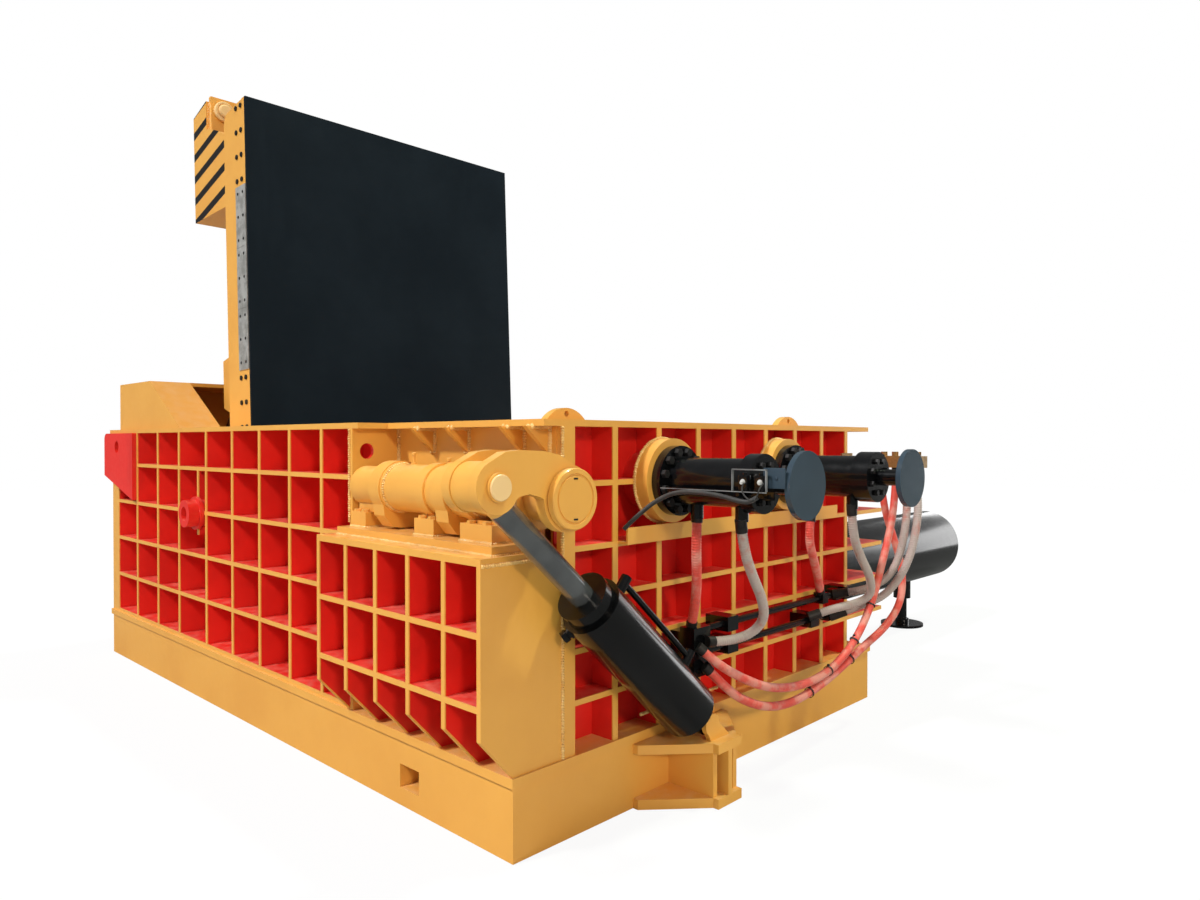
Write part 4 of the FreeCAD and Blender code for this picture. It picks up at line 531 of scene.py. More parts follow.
class Workshop:
    """Builds each material once and hands it out by name."""

    def __init__(self, shelf: EffectShelf) -> None:
        """Makes the finishes that pieces share.

        Args:
            shelf: the shared shader node groups.
        """
        self.shelf = shelf
        self.made: Dict[str, Material] = {}
        for name, coating in (("gold_paint", GOLD), ("scarlet_paint", SCARLET),
                              ("jet_paint", JET), ("cream_paint", CREAM),
                              ("slate_paint", SLATE), ("worn_edge", FRAME_GREY_AND_HIGHLIGHT),
                              ("tie_plastic", TIE), ("grey_plastic", GREY)):
            self.paint(name, coating)
        for name, bright, dull, patches, gloss, metallic in (
                ("strip_steel", (0.74, 0.74, 0.73), (0.27, 0.27, 0.26), 9.0, 0.34, 0.55),
                ("plate_steel", (0.36, 0.35, 0.34), (0.20, 0.17, 0.15), 3.0, 0.42, 0.6),
                ("black_bolt", (0.035, 0.033, 0.034), (0.016, 0.015, 0.015), 30.0, 0.3, 0.5),
                ("black_iron", (0.045, 0.04, 0.038), (0.018, 0.017, 0.017), 26.0, 0.28, 0.4),
                ("warm_brass", (0.60, 0.38, 0.15), (0.36, 0.20, 0.08), 18.0, 0.28, 0.85)):
            self._steel(name, bright, dull, patches, gloss, metallic)
        for cover, fresh, worn, grime, share in (
                (Sleeve.RED, (0.72, 0.070, 0.045), (0.72, 0.26, 0.20), (0.20, 0.08, 0.06), 0.30),
                (Sleeve.FADED, (0.50, 0.19, 0.15), (0.46, 0.38, 0.35), (0.13, 0.09, 0.08), 0.45),
                (Sleeve.RUBBER, (0.016, 0.016, 0.017), (0.03, 0.03, 0.03),
                 (0.06, 0.05, 0.045), 0.3)):
            self._sleeve(cover.value, fresh, worn, grime, share)

    def _start(self, name: str) -> Finish:
        """Starts a material.

        Args:
            name: its name.

        Returns:
            Its sheet.
        """
        finish = Finish(name)
        self.made[name] = finish.material
        return finish

    def _film(self, finish: Finish, coating: Coating) -> Sockets:
        """Places the paint film group with one coating's values.

        Args:
            finish: the material's sheet.
            coating: the paint.

        Returns:
            The group's outputs.
        """
        return finish.group(self.shelf.film, {
            "Colour": (*coating.colour, 1), "Shade": (*coating.shade, 1),
            "Dust and lit tops": (*coating.dust_and_lit_tops, 1), "Clouding": coating.clouding,
            "Dust and lit tops share": coating.dust_and_lit_tops_share, "Gloss": coating.gloss, "Scale": coating.scale})

    def paint(self, name: str, coating: Coating, inner: Optional[Coating] = None,
              mask: Optional[Values] = None, group: Optional[Tree] = None) -> Material:
        """One coat of paint, or two parted by a mask group.

        Args:
            name: the material's name.
            coating: the paint, outside the mask if there is one.
            inner: paint inside the mask.
            mask: inputs of the mask group.
            group: the mask group, or None for the cell mask.

        Returns:
            The material.
        """
        finish = self._start(name)
        film = self._film(finish, coating)
        colour = film["Colour"]
        if inner:
            second = self._film(finish, inner)
            part = finish.group(group or self.shelf.cells, mask)["Mask"]
            colour = finish.mix(part, colour, second["Colour"])
        finish.relief(film["Height"], coating.bump * 4, 0.001)
        finish.dress({"Base Color": colour, "Roughness": film["Roughness"],
                      "Coat Weight": coating.coat, "Coat Roughness": 0.12,
                      "Specular IOR Level": coating.specular})
        return finish.material

    def _steel(self, name: str, bright: Colour, dull: Colour, patches: float, gloss: float,
               metallic: float) -> None:
        """Bare or blackened steel, or brass.

        Args:
            name: the material's name.
            bright: colour of the clean metal.
            dull: colour of its patches.
            patches: scale of the patches.
            gloss: least roughness.
            metallic: how metallic it is.
        """
        finish = self._start(name)
        grain = finish.group(self.shelf.grain, {
            "Bright": (*bright, 1), "Dull": (*dull, 1), "Patches": patches, "Gloss": gloss})
        finish.relief(grain["Height"], 0.25, 0.0006)
        finish.dress({"Base Color": grain["Colour"], "Roughness": grain["Roughness"],
                      "Metallic": metallic})

    def chrome(self, name: str, along: Point) -> Material:
        """Hard chrome with faint turning rings.

        Args:
            name: the material's name.
            along: the rod's direction.

        Returns:
            The material.
        """
        finish = self._start(name)
        rings = finish.group(self.shelf.rings, {"Along": along})
        finish.relief(rings["Height"], 0.03, 0.0004)
        finish.dress({"Base Color": finish.tint(9.0, (0.40, 0.42, 0.45), (0.22, 0.24, 0.27)),
                      "Roughness": rings["Roughness"], "Metallic": 1.0})
        return finish.material

    def capped_rod(self, name: str, along: Point, reach: float, coating: Coating) -> Material:
        """Polished rod whose eye end is painted.

        Args:
            name: the material's name.
            along: the rod's direction, away from its eye.
            reach: how far along that direction the paint goes.
            coating: the paint.

        Returns:
            The material.
        """
        finish = self._start(name)
        film = self._film(finish, coating)
        rings = finish.group(self.shelf.rings, {"Along": along, "Gloss": 0.10})
        far = finish.vector("DOT_PRODUCT", finish.place(), along)
        bare = finish.ramp(far, reach - 0.002, reach + 0.002)
        tint = finish.tint(7.0, (0.30, 0.32, 0.335), (0.22, 0.235, 0.25))
        gloss = finish.math("MULTIPLY", rings["Roughness"], bare)
        painted = finish.math("SUBTRACT", 1.0, bare)
        finish.relief(film["Height"], 0.08, 0.0006)
        finish.dress({
            "Base Color": finish.mix(bare, film["Colour"], tint),
            "Metallic": finish.math("MULTIPLY", bare, 0.80),
            "Roughness": finish.math("MULTIPLY_ADD", film["Roughness"], painted, gloss)})
        return finish.material

    def _sleeve(self, name: str, fresh: Colour, worn: Colour, grime: Colour,
                share: float) -> None:
        """Woven hose sleeve, faded and soiled in patches.

        Args:
            name: the material's name.
            fresh: its clean colour.
            worn: its faded colour.
            grime: colour of the dirt.
            share: how much of it is faded.
        """
        finish = self._start(name)
        place = finish.place()
        fade = finish.ramp(finish.noise(place, 9.0, 4.0, 0.6), 0.72 - share, 0.92 - share)
        dirt = finish.ramp(finish.noise(place, 42.0, 5.0, 0.7), 0.56, 0.74)
        cloth = finish.mix(fade, (*fresh, 1), (*worn, 1))
        cloth = finish.mix(finish.math("MULTIPLY", dirt, 0.45), cloth, (*grime, 1))
        weave = finish.add("ShaderNodeTexVoronoi", {"Vector": place, "Scale": 420.0})
        finish.relief(weave.outputs["Distance"], 0.5, 0.0012)
        finish.dress({"Base Color": cloth, "Sheen Weight": 0.15,
                      "Roughness": finish.math("MULTIPLY_ADD", dirt, 0.2, 0.52)})


# ------------------------------------------------------------------ growing repeats
class Growth(Group):
    """A geometry node tree that ends in real geometry with one material."""

    def __init__(self, name: str, seed: str, inputs: Dict[str, object]) -> None:
        """Args:
            name: the tree's name.
            seed: name of the geometry that it starts from.
            inputs: its other inputs, as for any group.
        """
        super().__init__(name, {seed: GEOMETRY, **inputs, "Material": MATERIAL},
                         {"Geometry": GEOMETRY}, "GeometryNodeTree")

    def steps(self, mode: str, **inputs: Socket) -> Socket:
        """Cuts the seed's line into even steps.

        Args:
            mode: LENGTH or COUNT.
            inputs: the step's length or the number of steps.

        Returns:
            The socket of the stepped curve.
        """
        curve = self.add("GeometryNodeMeshToCurve", {0: self.given["Line"]}).outputs[0]
        return self.add("GeometryNodeResampleCurve", {0: curve, **inputs},
                        mode=mode).outputs[0]

    def spread(self, points: Socket, shape: Socket, along: Socket, **inputs: Socket) -> Socket:
        """Places a shape at each point.

        Args:
            points: the points.
            shape: the shape.
            along: direction that its z axis takes.
            inputs: other inputs of the instancing node.

        Returns:
            The socket of the result.
        """
        turn = self.add("FunctionNodeAlignRotationToVector", {"Vector": along}, axis="Z")
        return self.add("GeometryNodeInstanceOnPoints", {
            "Points": points, "Instance": shape, "Rotation": turn.outputs[0],
            **inputs}).outputs[0]

    def end(self, shape: Socket, smooth: bool) -> Tree:
        """Ends the tree.

        Args:
            shape: the geometry so far.
            smooth: whether the faces are shaded smooth.

        Returns:
            The tree.
        """
        real = self.add("GeometryNodeRealizeInstances", {0: shape}).outputs[0]
        shade = self.add("GeometryNodeSetShadeSmooth", {0: real, "Shade Smooth": smooth})
        dress = self.add("GeometryNodeSetMaterial", {
            0: shade.outputs[0], "Material": self.given["Material"]})
        return self.give(Geometry=dress.outputs[0])


class Grower:
    """Geometry node trees for everything that repeats or follows a line."""

    def __init__(self) -> None:
        """Builds the three trees."""
        self.beads = self._beads()
        self.heads = self._heads()
        self.spiral = self._spiral()

    @staticmethod
    def _beads() -> Tree:
        """Overlapping weld beads along each line.

        Returns:
            The tree.
        """
        sheet = Growth("weld_beads", "Line", {"Width": 0.008, "Pitch": 0.009, "Seed": 7})
        given = sheet.given
        ball = sheet.add("GeometryNodeMeshUVSphere", {
            "Segments": 8, "Rings": 5, "Radius": given["Width"]})
        size = sheet.add("FunctionNodeRandomValue", {
            0: (0.8, 0.8, 0.5), 1: (1.15, 1.15, 0.8), "Seed": given["Seed"]},
            data_type="FLOAT_VECTOR")
        return sheet.end(sheet.spread(
            sheet.steps("LENGTH", Length=given["Pitch"]), ball.outputs[0],
            sheet.add("GeometryNodeInputTangent").outputs[0], Scale=size.outputs[0]), True)

    @staticmethod
    def _heads() -> Tree:
        """A washer and a head at each point, standing along one direction.

        Returns:
            The tree.
        """
        sheet = Growth("screw_heads", "Points", {
            "Direction": (0, 0, 1), "Head radius": 0.01, "Head height": 0.006, "Sides": 6,
            "Washer radius": 0.013, "Washer height": 0.002})
        washer_sides = 14
        given = sheet.given
        joined = sheet.add("GeometryNodeJoinGeometry")
        for part, sides, base in (("Washer", washer_sides, 0.0),
                                  ("Head", given["Sides"], given["Washer height"])):
            radius, height = given[part + " radius"], given[part + " height"]
            disc = sheet.add("GeometryNodeMeshCylinder", {
                "Vertices": sides, "Radius": radius, "Depth": height})
            middle = sheet.math("ADD", sheet.math("MULTIPLY", height, 0.5), base)
            move = sheet.add("GeometryNodeTransform", {
                "Geometry": disc.outputs[0],
                "Translation": sheet.add("ShaderNodeCombineXYZ", {2: middle}).outputs[0]})
            sheet.feed(joined.inputs[0], move.outputs[0])
        return sheet.end(sheet.spread(given["Points"], joined.outputs[0],
                                      given["Direction"]), False)

    @staticmethod
    def _spiral() -> Tree:
        """A strand wound round a line.

        Returns:
            The tree.
        """
        sheet = Growth("wound_strand", "Line", {
            "Winding radius": 0.022, "Strand radius": 0.003, "Points": 900, "Turns": 60.0})
        given = sheet.given
        tangent = sheet.add("GeometryNodeInputTangent").outputs[0]
        normal = sheet.add("GeometryNodeInputNormal").outputs[0]
        share = sheet.math("DIVIDE", sheet.add("GeometryNodeInputIndex").outputs[0],
                           given["Points"])
        angle = sheet.math("MULTIPLY", share, sheet.math("MULTIPLY", given["Turns"], FULL_TURN))
        away = sheet.vector(
            "ADD", sheet.scaled(normal, sheet.math("COSINE", angle)),
            sheet.scaled(sheet.vector("CROSS_PRODUCT", tangent, normal),
                         sheet.math("SINE", angle)))
        moved = sheet.add("GeometryNodeSetPosition", {
            "Geometry": sheet.steps("COUNT", Count=given["Points"]),
            "Offset": sheet.scaled(away, given["Winding radius"])})
        ring = sheet.add("GeometryNodeCurvePrimitiveCircle", {
            "Resolution": 5, "Radius": given["Strand radius"]})
        tube = sheet.add("GeometryNodeCurveToMesh", {
            "Curve": moved.outputs[0], "Profile Curve": ring.outputs[0], "Fill Caps": True})
        return sheet.end(tube.outputs[0], True)

    @staticmethod
    def grow(name: str, lines: Sequence[Line], tree: Tree, values: Dict[str, object]) -> Piece:
        """Runs a tree on lines or points and keeps the result as a plain mesh object.

        Args:
            name: the new object's name.
            lines: the points of each line.
            tree: the geometry node tree.
            values: its inputs by name.

        Returns:
            The plain object.
        """
        carrier = link(name + "_seed", lines_mesh(name + "_seed", lines))
        modifier = carrier.modifiers.new("grow", "NODES")
        modifier.node_group = tree
        sockets = {item.name: item.identifier for item in tree.interface.items_tree
                   if item.item_type == "SOCKET" and item.in_out == "INPUT"}
        for label, value in values.items():
            modifier[sockets[label]] = value
        mesh = evaluated_mesh(carrier)
        mesh.name = name
        bpy.data.objects.remove(carrier)
        return link(name, mesh)


# ------------------------------------------------------------------ mesh helpers
def link(name: str, data: bpy.types.ID) -> Piece:
    """Puts data into the scene as an object at the origin.

    Args:
        name: the object's name.
        data: its mesh, curve, lamp or camera.

    Returns:
        The object.
    """
    piece = bpy.data.objects.new(name, data)
    bpy.context.scene.collection.objects.link(piece)
    return piece


def evaluated_mesh(piece: Piece) -> bpy.types.Mesh:
    """Mesh of an object with its modifiers, or of a curve.

    Args:
        piece: the object.

    Returns:
        The mesh.
    """
    bpy.context.view_layer.update()
    graph = bpy.context.evaluated_depsgraph_get()
    return bpy.data.meshes.new_from_object(piece.evaluated_get(graph))


def lines_mesh(name: str, lines: Sequence[Line]) -> bpy.types.Mesh:
    """Mesh of lines, where a line of one point is a loose point.

    Args:
        name: the mesh's name.
        lines: the points of each line.

    Returns:
        The mesh.
    """
    points: List[Point] = []
    edges: List[Tuple[int, int]] = []
    for line in lines:
        start = len(points)
        points.extend(tuple(place) for place in line)
        edges.extend((start + n, start + n + 1) for n in range(len(line) - 1))
    mesh = bpy.data.meshes.new(name)
    mesh.from_pydata(points, edges, [])
    mesh.update()
    return mesh


def circle(centre: Point, axis: Point, radius: float, steps: int) -> List[Point]:
    """Points of a closed circle.

    Args:
        centre: its middle.
        axis: its axis.
        radius: its radius.
        steps: its number of sides.

    Returns:
        The points, the first one again at the end.
    """
    turn = Vector(axis).normalized().to_track_quat("Z", "Y")
    return [tuple(Vector(centre) + turn @ Vector((radius * math.cos(a), radius * math.sin(a), 0)))
            for a in (FULL_TURN * n / steps for n in range(steps + 1))]


def aim(piece: Piece, direction: Point) -> None:
    """Turns a lamp or camera so that it looks along a direction.

    Args:
        piece: the lamp or camera.
        direction: where it looks.
    """
    piece.rotation_euler = Vector(direction).to_track_quat("-Z", "Y").to_euler()


class Solid:
    """One piece built from turned profiles and bevelled blocks in mesh code."""

    def __init__(self, name: str) -> None:
        """Args:
            name: the piece's name.
        """
        self.name = name
        self.mesh = bmesh.new()

    def turned(self, origin: Point, axis: Sequence[float],
               profile: Sequence[Tuple[float, float]], sides: int = 40) -> None:
        """Adds a solid of revolution.

        Args:
            origin: where the profile's run starts.
            axis: direction of its run.
            profile: run and radius of each ring, closed at radius 0 ends.
            sides: number of sides.
        """
        turn = Vector(axis).normalized().to_track_quat("Z", "Y")
        angles = [FULL_TURN * n / sides for n in range(sides)]
        rings = [[self.mesh.verts.new(Vector(origin) + turn @ Vector(
            (radius * math.cos(angle), radius * math.sin(angle), run)))
            for angle in (angles if radius else angles[:1])] for run, radius in profile]
        for low, high in zip(rings, rings[1:]):
            for n in range(sides):
                m = (n + 1) % sides
                corners = [low[n % len(low)], low[m % len(low)], high[m % len(high)],
                           high[n % len(high)]]
                self.mesh.faces.new(tuple(dict.fromkeys(corners)))

    def block(self, low: Point, high: Point, edge: float = 0.002) -> None:
        """Adds a block with rounded edges.

        Args:
            low: its lowest corner.
            high: its highest corner.
            edge: the edges' radius.
        """
        size = [h - l for l, h in zip(low, high)]
        middle = [(h + l) / 2 for l, h in zip(low, high)]
        made = bmesh.ops.create_cube(self.mesh, size=1.0, matrix=Matrix.Translation(
            middle) @ Matrix.Diagonal((*size, 1)))
        edges = list({e for v in made["verts"] for e in v.link_edges})
        bmesh.ops.bevel(self.mesh, geom=edges, offset=min(edge, 0.3 * min(size)), segments=2,
                        affect="EDGES", profile=0.6)

    def finish(self, material: Material, body: Body, slot: Slot, angle: float = 35.0) -> Piece:
        """Ends the piece and settles it.

        Args:
            material: its finish.
            body: the body that it moves with.
            slot: its material slot in the record; not used.
            angle: edges sharper than this stay sharp, in degrees.

        Returns:
            The object.
        """
        bmesh.ops.remove_doubles(self.mesh, verts=self.mesh.verts, dist=1e-6)
        bmesh.ops.recalc_face_normals(self.mesh, faces=self.mesh.faces)
        mesh = bpy.data.meshes.new(self.name)
        self.mesh.to_mesh(mesh)
        self.mesh.free()
        mesh.materials.append(material)
        mesh.shade_smooth()
        mesh.set_sharp_from_angle(angle=math.radians(angle))
        return settle(link(self.name, mesh), body)


def settle(piece: Piece, body: Body, replaced: Sequence[str] = ()) -> Piece:
    """Tells the frame what a finished piece rides on and stands for.

    Args:
        piece: the piece.
        body: the body that it moves with.
        replaced: frame nodes that it stands for.

    Returns:
        The piece.
    """
    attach(piece, body.value)
    if replaced:
        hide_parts(*replaced)
    return piece


# ------------------------------------------------------------------ studio
@dataclass(frozen=True)
class Lamp:
    """A distant soft lamp."""

    name: str
    direction: Point
    strength: float
    softness: float
    colour: Colour = (1.0, 1.0, 1.0)


@dataclass(frozen=True)
class Studio:
    """Camera, lamps, background and floor."""

    eye: Point = (5.073, -3.723, 1.7)
    look: Point = (-0.6921, 0.7217, -0.0095)
    lens: float = 25.2
    sensor: float = 36.0
    sight: float = 200.0
    lamps: Sequence[Lamp] = (
        Lamp("key_lamp", (0.20, 0.74, -0.88), 2.7, 5.0),
        Lamp("fill_lamp", (-0.86, 0.35, -0.38), 1.0, 7.0, (1.0, 0.86, 0.70)),
        Lamp("top_lamp", (-0.25, -0.35, -0.90), 1.8, 4.0, (0.86, 1.0, 0.76)))
    panel_size: Tuple[float, float] = (8.0, 4.5)
    panel_power: float = 300.0
    panel_place: Point = (2.5, 13.0, 1.9)
    panel_direction: Point = (0.0, -1.0, -0.06)
    ambient: float = 0.40
    mirrored: float = 0.13
    floor_half: float = 30.0
    floor_level: float = -0.002
    floor_colour: Colour = (0.50, 0.50, 0.50)
    floor_seen: float = 1.05
    floor_mirrored: float = 0.07
    floor_share: float = 0.88

    def _camera(self) -> None:
        """Sets the camera at the height and angle of a standing viewer."""
        data = bpy.data.cameras.new("viewer")
        data.sensor_width, data.lens, data.clip_end = self.sensor, self.lens, self.sight
        camera = link("viewer", data)
        camera.location = self.eye
        aim(camera, self.look)
        bpy.context.scene.camera = camera

    def _lights(self) -> None:
        """Adds the distant lamps, and a wide panel that shows in the black barrels."""
        for lamp in self.lamps:
            data = bpy.data.lights.new(lamp.name, "SUN")
            data.color, data.energy = lamp.colour, lamp.strength
            data.angle = math.radians(lamp.softness)
            aim(link(lamp.name, data), lamp.direction)
        data = bpy.data.lights.new("side_panel", "AREA")
        data.shape = "RECTANGLE"
        data.size, data.size_y = self.panel_size
        data.energy = self.panel_power
        panel = link("side_panel", data)
        panel.location = self.panel_place
        aim(panel, self.panel_direction)

    def _background(self) -> None:
        """White where it is seen, dimmer in reflections, and plain light elsewhere."""
        world = bpy.data.worlds.new("plain_room")
        world.use_nodes = True
        bpy.context.scene.world = world
        sheet = NodeSheet(world.node_tree)
        path = sheet.add("ShaderNodeLightPath").outputs
        level = sheet.math("MULTIPLY_ADD", path["Is Glossy Ray"], self.mirrored - self.ambient,
                           self.ambient)
        light = world.node_tree.nodes["Background"].inputs
        sheet.feed(light["Color"], (1.0, 1.0, 1.0, 1.0))
        sheet.feed(light["Strength"], sheet.math("MULTIPLY_ADD", path["Is Camera Ray"],
                                                 1.0 - self.ambient, level))

    def _floor(self) -> None:
        """Pale floor that fades into the white background and keeps a soft shadow."""
        finish = Finish("pale_floor")
        finish.dress({"Base Color": (*self.floor_colour, 1), "Roughness": 0.9,
                      "Specular IOR Level": 0.1})
        path = finish.add("ShaderNodeLightPath").outputs
        seen, mirrored = path["Is Camera Ray"], path["Is Glossy Ray"]
        glow = finish.add("ShaderNodeEmission", {"Strength": finish.math(
            "ADD", finish.math("MULTIPLY", seen, self.floor_seen),
            finish.math("MULTIPLY", mirrored, self.floor_mirrored))})
        share = finish.math("MULTIPLY", finish.math("MAXIMUM", seen, mirrored),
                            self.floor_share)
        blend = finish.add("ShaderNodeMixShader", {
            0: share, 1: finish.shader.outputs[0], 2: glow.outputs[0]})
        finish.feed(finish.tree.nodes["Material Output"].inputs[0], blend.outputs[0])
        half, level = self.floor_half, self.floor_level
        mesh = bpy.data.meshes.new("floor")
        mesh.from_pydata([(-half, -half, level), (half, -half, level), (half, half, level),
                          (-half, half, level)], [], [(0, 1, 2, 3)])
        mesh.materials.append(finish.material)
        piece = link("floor", mesh)

    def build(self) -> None:
        """Builds the whole studio."""
        bpy.context.scene.view_settings.view_transform = "Standard"
        self._camera()
        self._lights()
        self._background()
        self._floor()


# ------------------------------------------------------------------ places on the frame
ALONG_X, ALONG_Y, ALONG_Z = (1, 0, 0), (0, 1, 0), (0, 0, 1)
LID_PIVOT: Point = (-0.735, 0.0, 1.227)
SHAFT_Y, SHAFT_Z = -1.472, 1.482
TURNOUT_WAY: Point = (0.0, 0.7455, -0.6666)


@dataclass
class Step(ABC):
    """One step of the build."""

    workshop: Workshop
    grower: Grower

    @abstractmethod
    def build(self) -> None:
        """Builds the step's pieces."""


# ------------------------------------------------------------------ hoses
@dataclass(frozen=True)
class Hose:
    """One hose or cable: its length, its cover and its route from its fixed end."""

    name: str
    length: float
    cover: Sleeve
    route: Line
    node: Optional[str] = None
    wound: bool = False
    ties: Sequence[float] = ()
    diameter: float = 0.044


HOSES = (
    Hose("near_front_hose", 0.521, Sleeve.RED, (
        (2.706, -0.606, 1.329), (2.700, -0.605, 1.222), (2.670, -0.558, 1.074),
        (2.630, -0.513, 0.945), (2.597, -0.500, 0.836)), "hose_near_front", wound=True),
    Hose("near_tail_hose", 0.955, Sleeve.FADED, (
        (2.954, -0.605, 1.301), (2.950, -0.583, 1.219), (2.925, -0.481, 1.093),
        (2.880, -0.329, 0.962), (2.820, -0.209, 0.840), (2.752, -0.214, 0.755),
        (2.700, -0.335, 0.730), (2.672, -0.425, 0.738)), "hose_near_tail", wound=True),
    Hose("far_front_hose", 0.545, Sleeve.RED, (
        (2.706, 0.422, 1.262), (2.706, 0.402, 1.161), (2.680, 0.508, 1.037),
        (2.640, 0.625, 0.918), (2.610, 0.700, 0.840)), "hose_far_front", wound=True),
    Hose("far_tail_hose", 1.027, Sleeve.FADED, (
        (2.953, 0.422, 1.312), (2.950, 0.440, 1.204), (2.930, 0.560, 1.078),
        (2.890, 0.774, 0.929), (2.840, 0.878, 0.806), (2.780, 0.800, 0.763),
        (2.720, 0.676, 0.749), (2.660, 0.613, 0.721)), "hose_far_tail", wound=True),
    Hose("near_drop_hose", 0.877, Sleeve.FADED, (
        (2.900, 1.210, 1.480), (2.930, 1.160, 1.350), (2.940, 1.120, 1.210),
        (2.910, 1.110, 1.030), (2.870, 1.070, 0.910), (2.810, 1.000, 0.850),
        (2.750, 0.920, 0.820), (2.690, 0.895, 0.808)), "hose_drop_near", wound=True),
    Hose("far_drop_hose", 0.991, Sleeve.FADED, (
        (2.960, 1.210, 1.480), (2.994, 1.170, 1.360), (2.998, 1.140, 1.210),
        (2.980, 1.100, 1.040), (2.932, 1.060, 0.900), (2.860, 1.000, 0.790),
        (2.770, 0.920, 0.740), (2.690, 0.860, 0.700)), "hose_drop_far", wound=True),
    Hose("upper_long_hose", 2.380, Sleeve.RED, (
        (2.668, -0.500, 0.700), (2.712, -0.450, 0.640), (2.745, -0.310, 0.555),
        (2.775, -0.110, 0.465), (2.790, 0.150, 0.420), (2.795, 0.420, 0.430),
        (2.800, 0.650, 0.500), (2.825, 0.780, 0.620), (2.840, 0.890, 0.770),
        (2.838, 1.000, 0.940), (2.828, 1.120, 1.110), (2.818, 1.222, 1.280),
        (2.815, 1.250, 1.440)), "hose_long_upper", ties=(0.43, 0.56, 0.68)),
    Hose("lower_long_hose", 2.646, Sleeve.RED, (
        (2.674, -0.460, 0.600), (2.712, -0.400, 0.525), (2.740, -0.290, 0.440),
        (2.770, -0.120, 0.370), (2.790, 0.070, 0.350), (2.790, 0.330, 0.370),
        (2.790, 0.590, 0.425), (2.800, 0.850, 0.505), (2.820, 1.130, 0.590),
        (2.835, 1.300, 0.720), (2.830, 1.325, 0.910), (2.795, 1.280, 1.100),
        (2.755, 1.228, 1.280), (2.748, 1.203, 1.430)), "hose_long_lower", ties=(0.36, 0.5)),
    Hose("switch_cable", 0.716, Sleeve.RUBBER, (
        (2.545, -0.932, 1.308), (2.562, -0.915, 1.335), (2.605, -0.882, 1.385),
        (2.665, -0.848, 1.440), (2.760, -0.828, 1.482), (2.890, -0.827, 1.484),
        (3.000, -0.827, 1.474), (3.090, -0.827, 1.456), (3.140, -0.822, 1.452),
        (3.165, -0.808, 1.474)), diameter=0.020),
    Hose("switch_wire_one", 0.124, Sleeve.RUBBER, (
        (3.096, -0.800, 1.530), (3.100, -0.826, 1.512), (3.112, -0.830, 1.486),
        (3.134, -0.830, 1.466), (3.152, -0.826, 1.460), (3.160, -0.810, 1.468)),
        diameter=0.006),
    Hose("switch_wire_two", 0.114, Sleeve.RUBBER, (
        (3.190, -0.800, 1.532), (3.190, -0.828, 1.515), (3.184, -0.832, 1.488),
        (3.172, -0.830, 1.466), (3.162, -0.822, 1.462), (3.158, -0.808, 1.478)),
        diameter=0.006),
)


@dataclass
class HoseSet(Step):
    """Every hose and cable on the lock end."""

    tie_gap: float = 0.0035
    tie_thickness: float = 0.0022
    tie_half: float = 0.0045
    tie_head: float = 0.006
    strand_radius: float = 0.0032
    strand_sunk: float = 0.0005
    winding_step: float = 0.013
    points_per_turn: int = 11

    @staticmethod
    def _curve(hose: Hose) -> Piece:
        """Smooth curve with the route's points as its control points.

        Args:
            hose: the hose.

        Returns:
            The curve object, without thickness yet.
        """
        data = bpy.data.curves.new(hose.name, "CURVE")
        data.dimensions = "3D"
        data.resolution_u = 12
        spline = data.splines.new("NURBS")
        spline.points.add(len(hose.route) - 1)
        for point, place in zip(spline.points, hose.route):
            point.co = (*place, 1.0)
        spline.order_u = 3
        spline.use_endpoint_u = True
        return link(hose.name, data)

    def _winding(self, hose: Hose, line: Sequence[Vector]) -> Piece:
        """The strand wound round a hose.

        Args:
            hose: the hose.
            line: its centreline.

        Returns:
            The strand.
        """
        turns = hose.length / self.winding_step
        strand = self.grower.grow(hose.name + "_winding", [line], self.grower.spiral, {
            "Winding radius": hose.diameter / 2 - self.strand_sunk,
            "Strand radius": self.strand_radius,
            "Points": int(turns * self.points_per_turn), "Turns": turns,
            "Material": self.workshop.made[hose.cover.value]})
        return settle(strand, Body.BALER)

    def _tie(self, hose: Hose, line: Sequence[Vector], number: int) -> Piece:
        """A cable tie with its head.

        Args:
            hose: the hose.
            line: its centreline.
            number: which of the hose's ties it is.

        Returns:
            The tie.
        """
        at = int(hose.ties[number] * (len(line) - 2))
        centre, along = line[at], (line[at + 1] - line[at]).normalized()
        inner, half = hose.diameter / 2 + self.tie_gap, self.tie_half
        outer = inner + self.tie_thickness
        tie = Solid("%s_tie_%d" % (hose.name, number))
        tie.turned(centre - along * half, along, ((0, inner), (0, outer), (2 * half, outer),
                                                  (2 * half, inner), (0, inner)), 28)
        head = centre + Vector((0, 0, inner + 0.004))
        size = Vector((self.tie_head,) * 3)
        tie.block(tuple(head - size), tuple(head + size), 0.001)
        return tie.finish(self.workshop.made["tie_plastic"], Body.BALER, Slot.BLACK)

    def build(self) -> None:
        """Builds and declares each hose."""
        for hose in HOSES:
            curve = self._curve(hose)
            line = [v.co.copy() for v in evaluated_mesh(curve).vertices]
            pieces = [self._winding(hose, line)] if hose.wound else []
            pieces += [self._tie(hose, line, number) for number in range(len(hose.ties))]
            curve.data.bevel_depth = hose.diameter / 2
            curve.data.bevel_resolution = 5
            curve.data.use_fill_caps = True
            curve.data.materials.append(self.workshop.made[hose.cover.value])
            settle(curve, Body.BALER, (hose.node,) if hose.node else ())


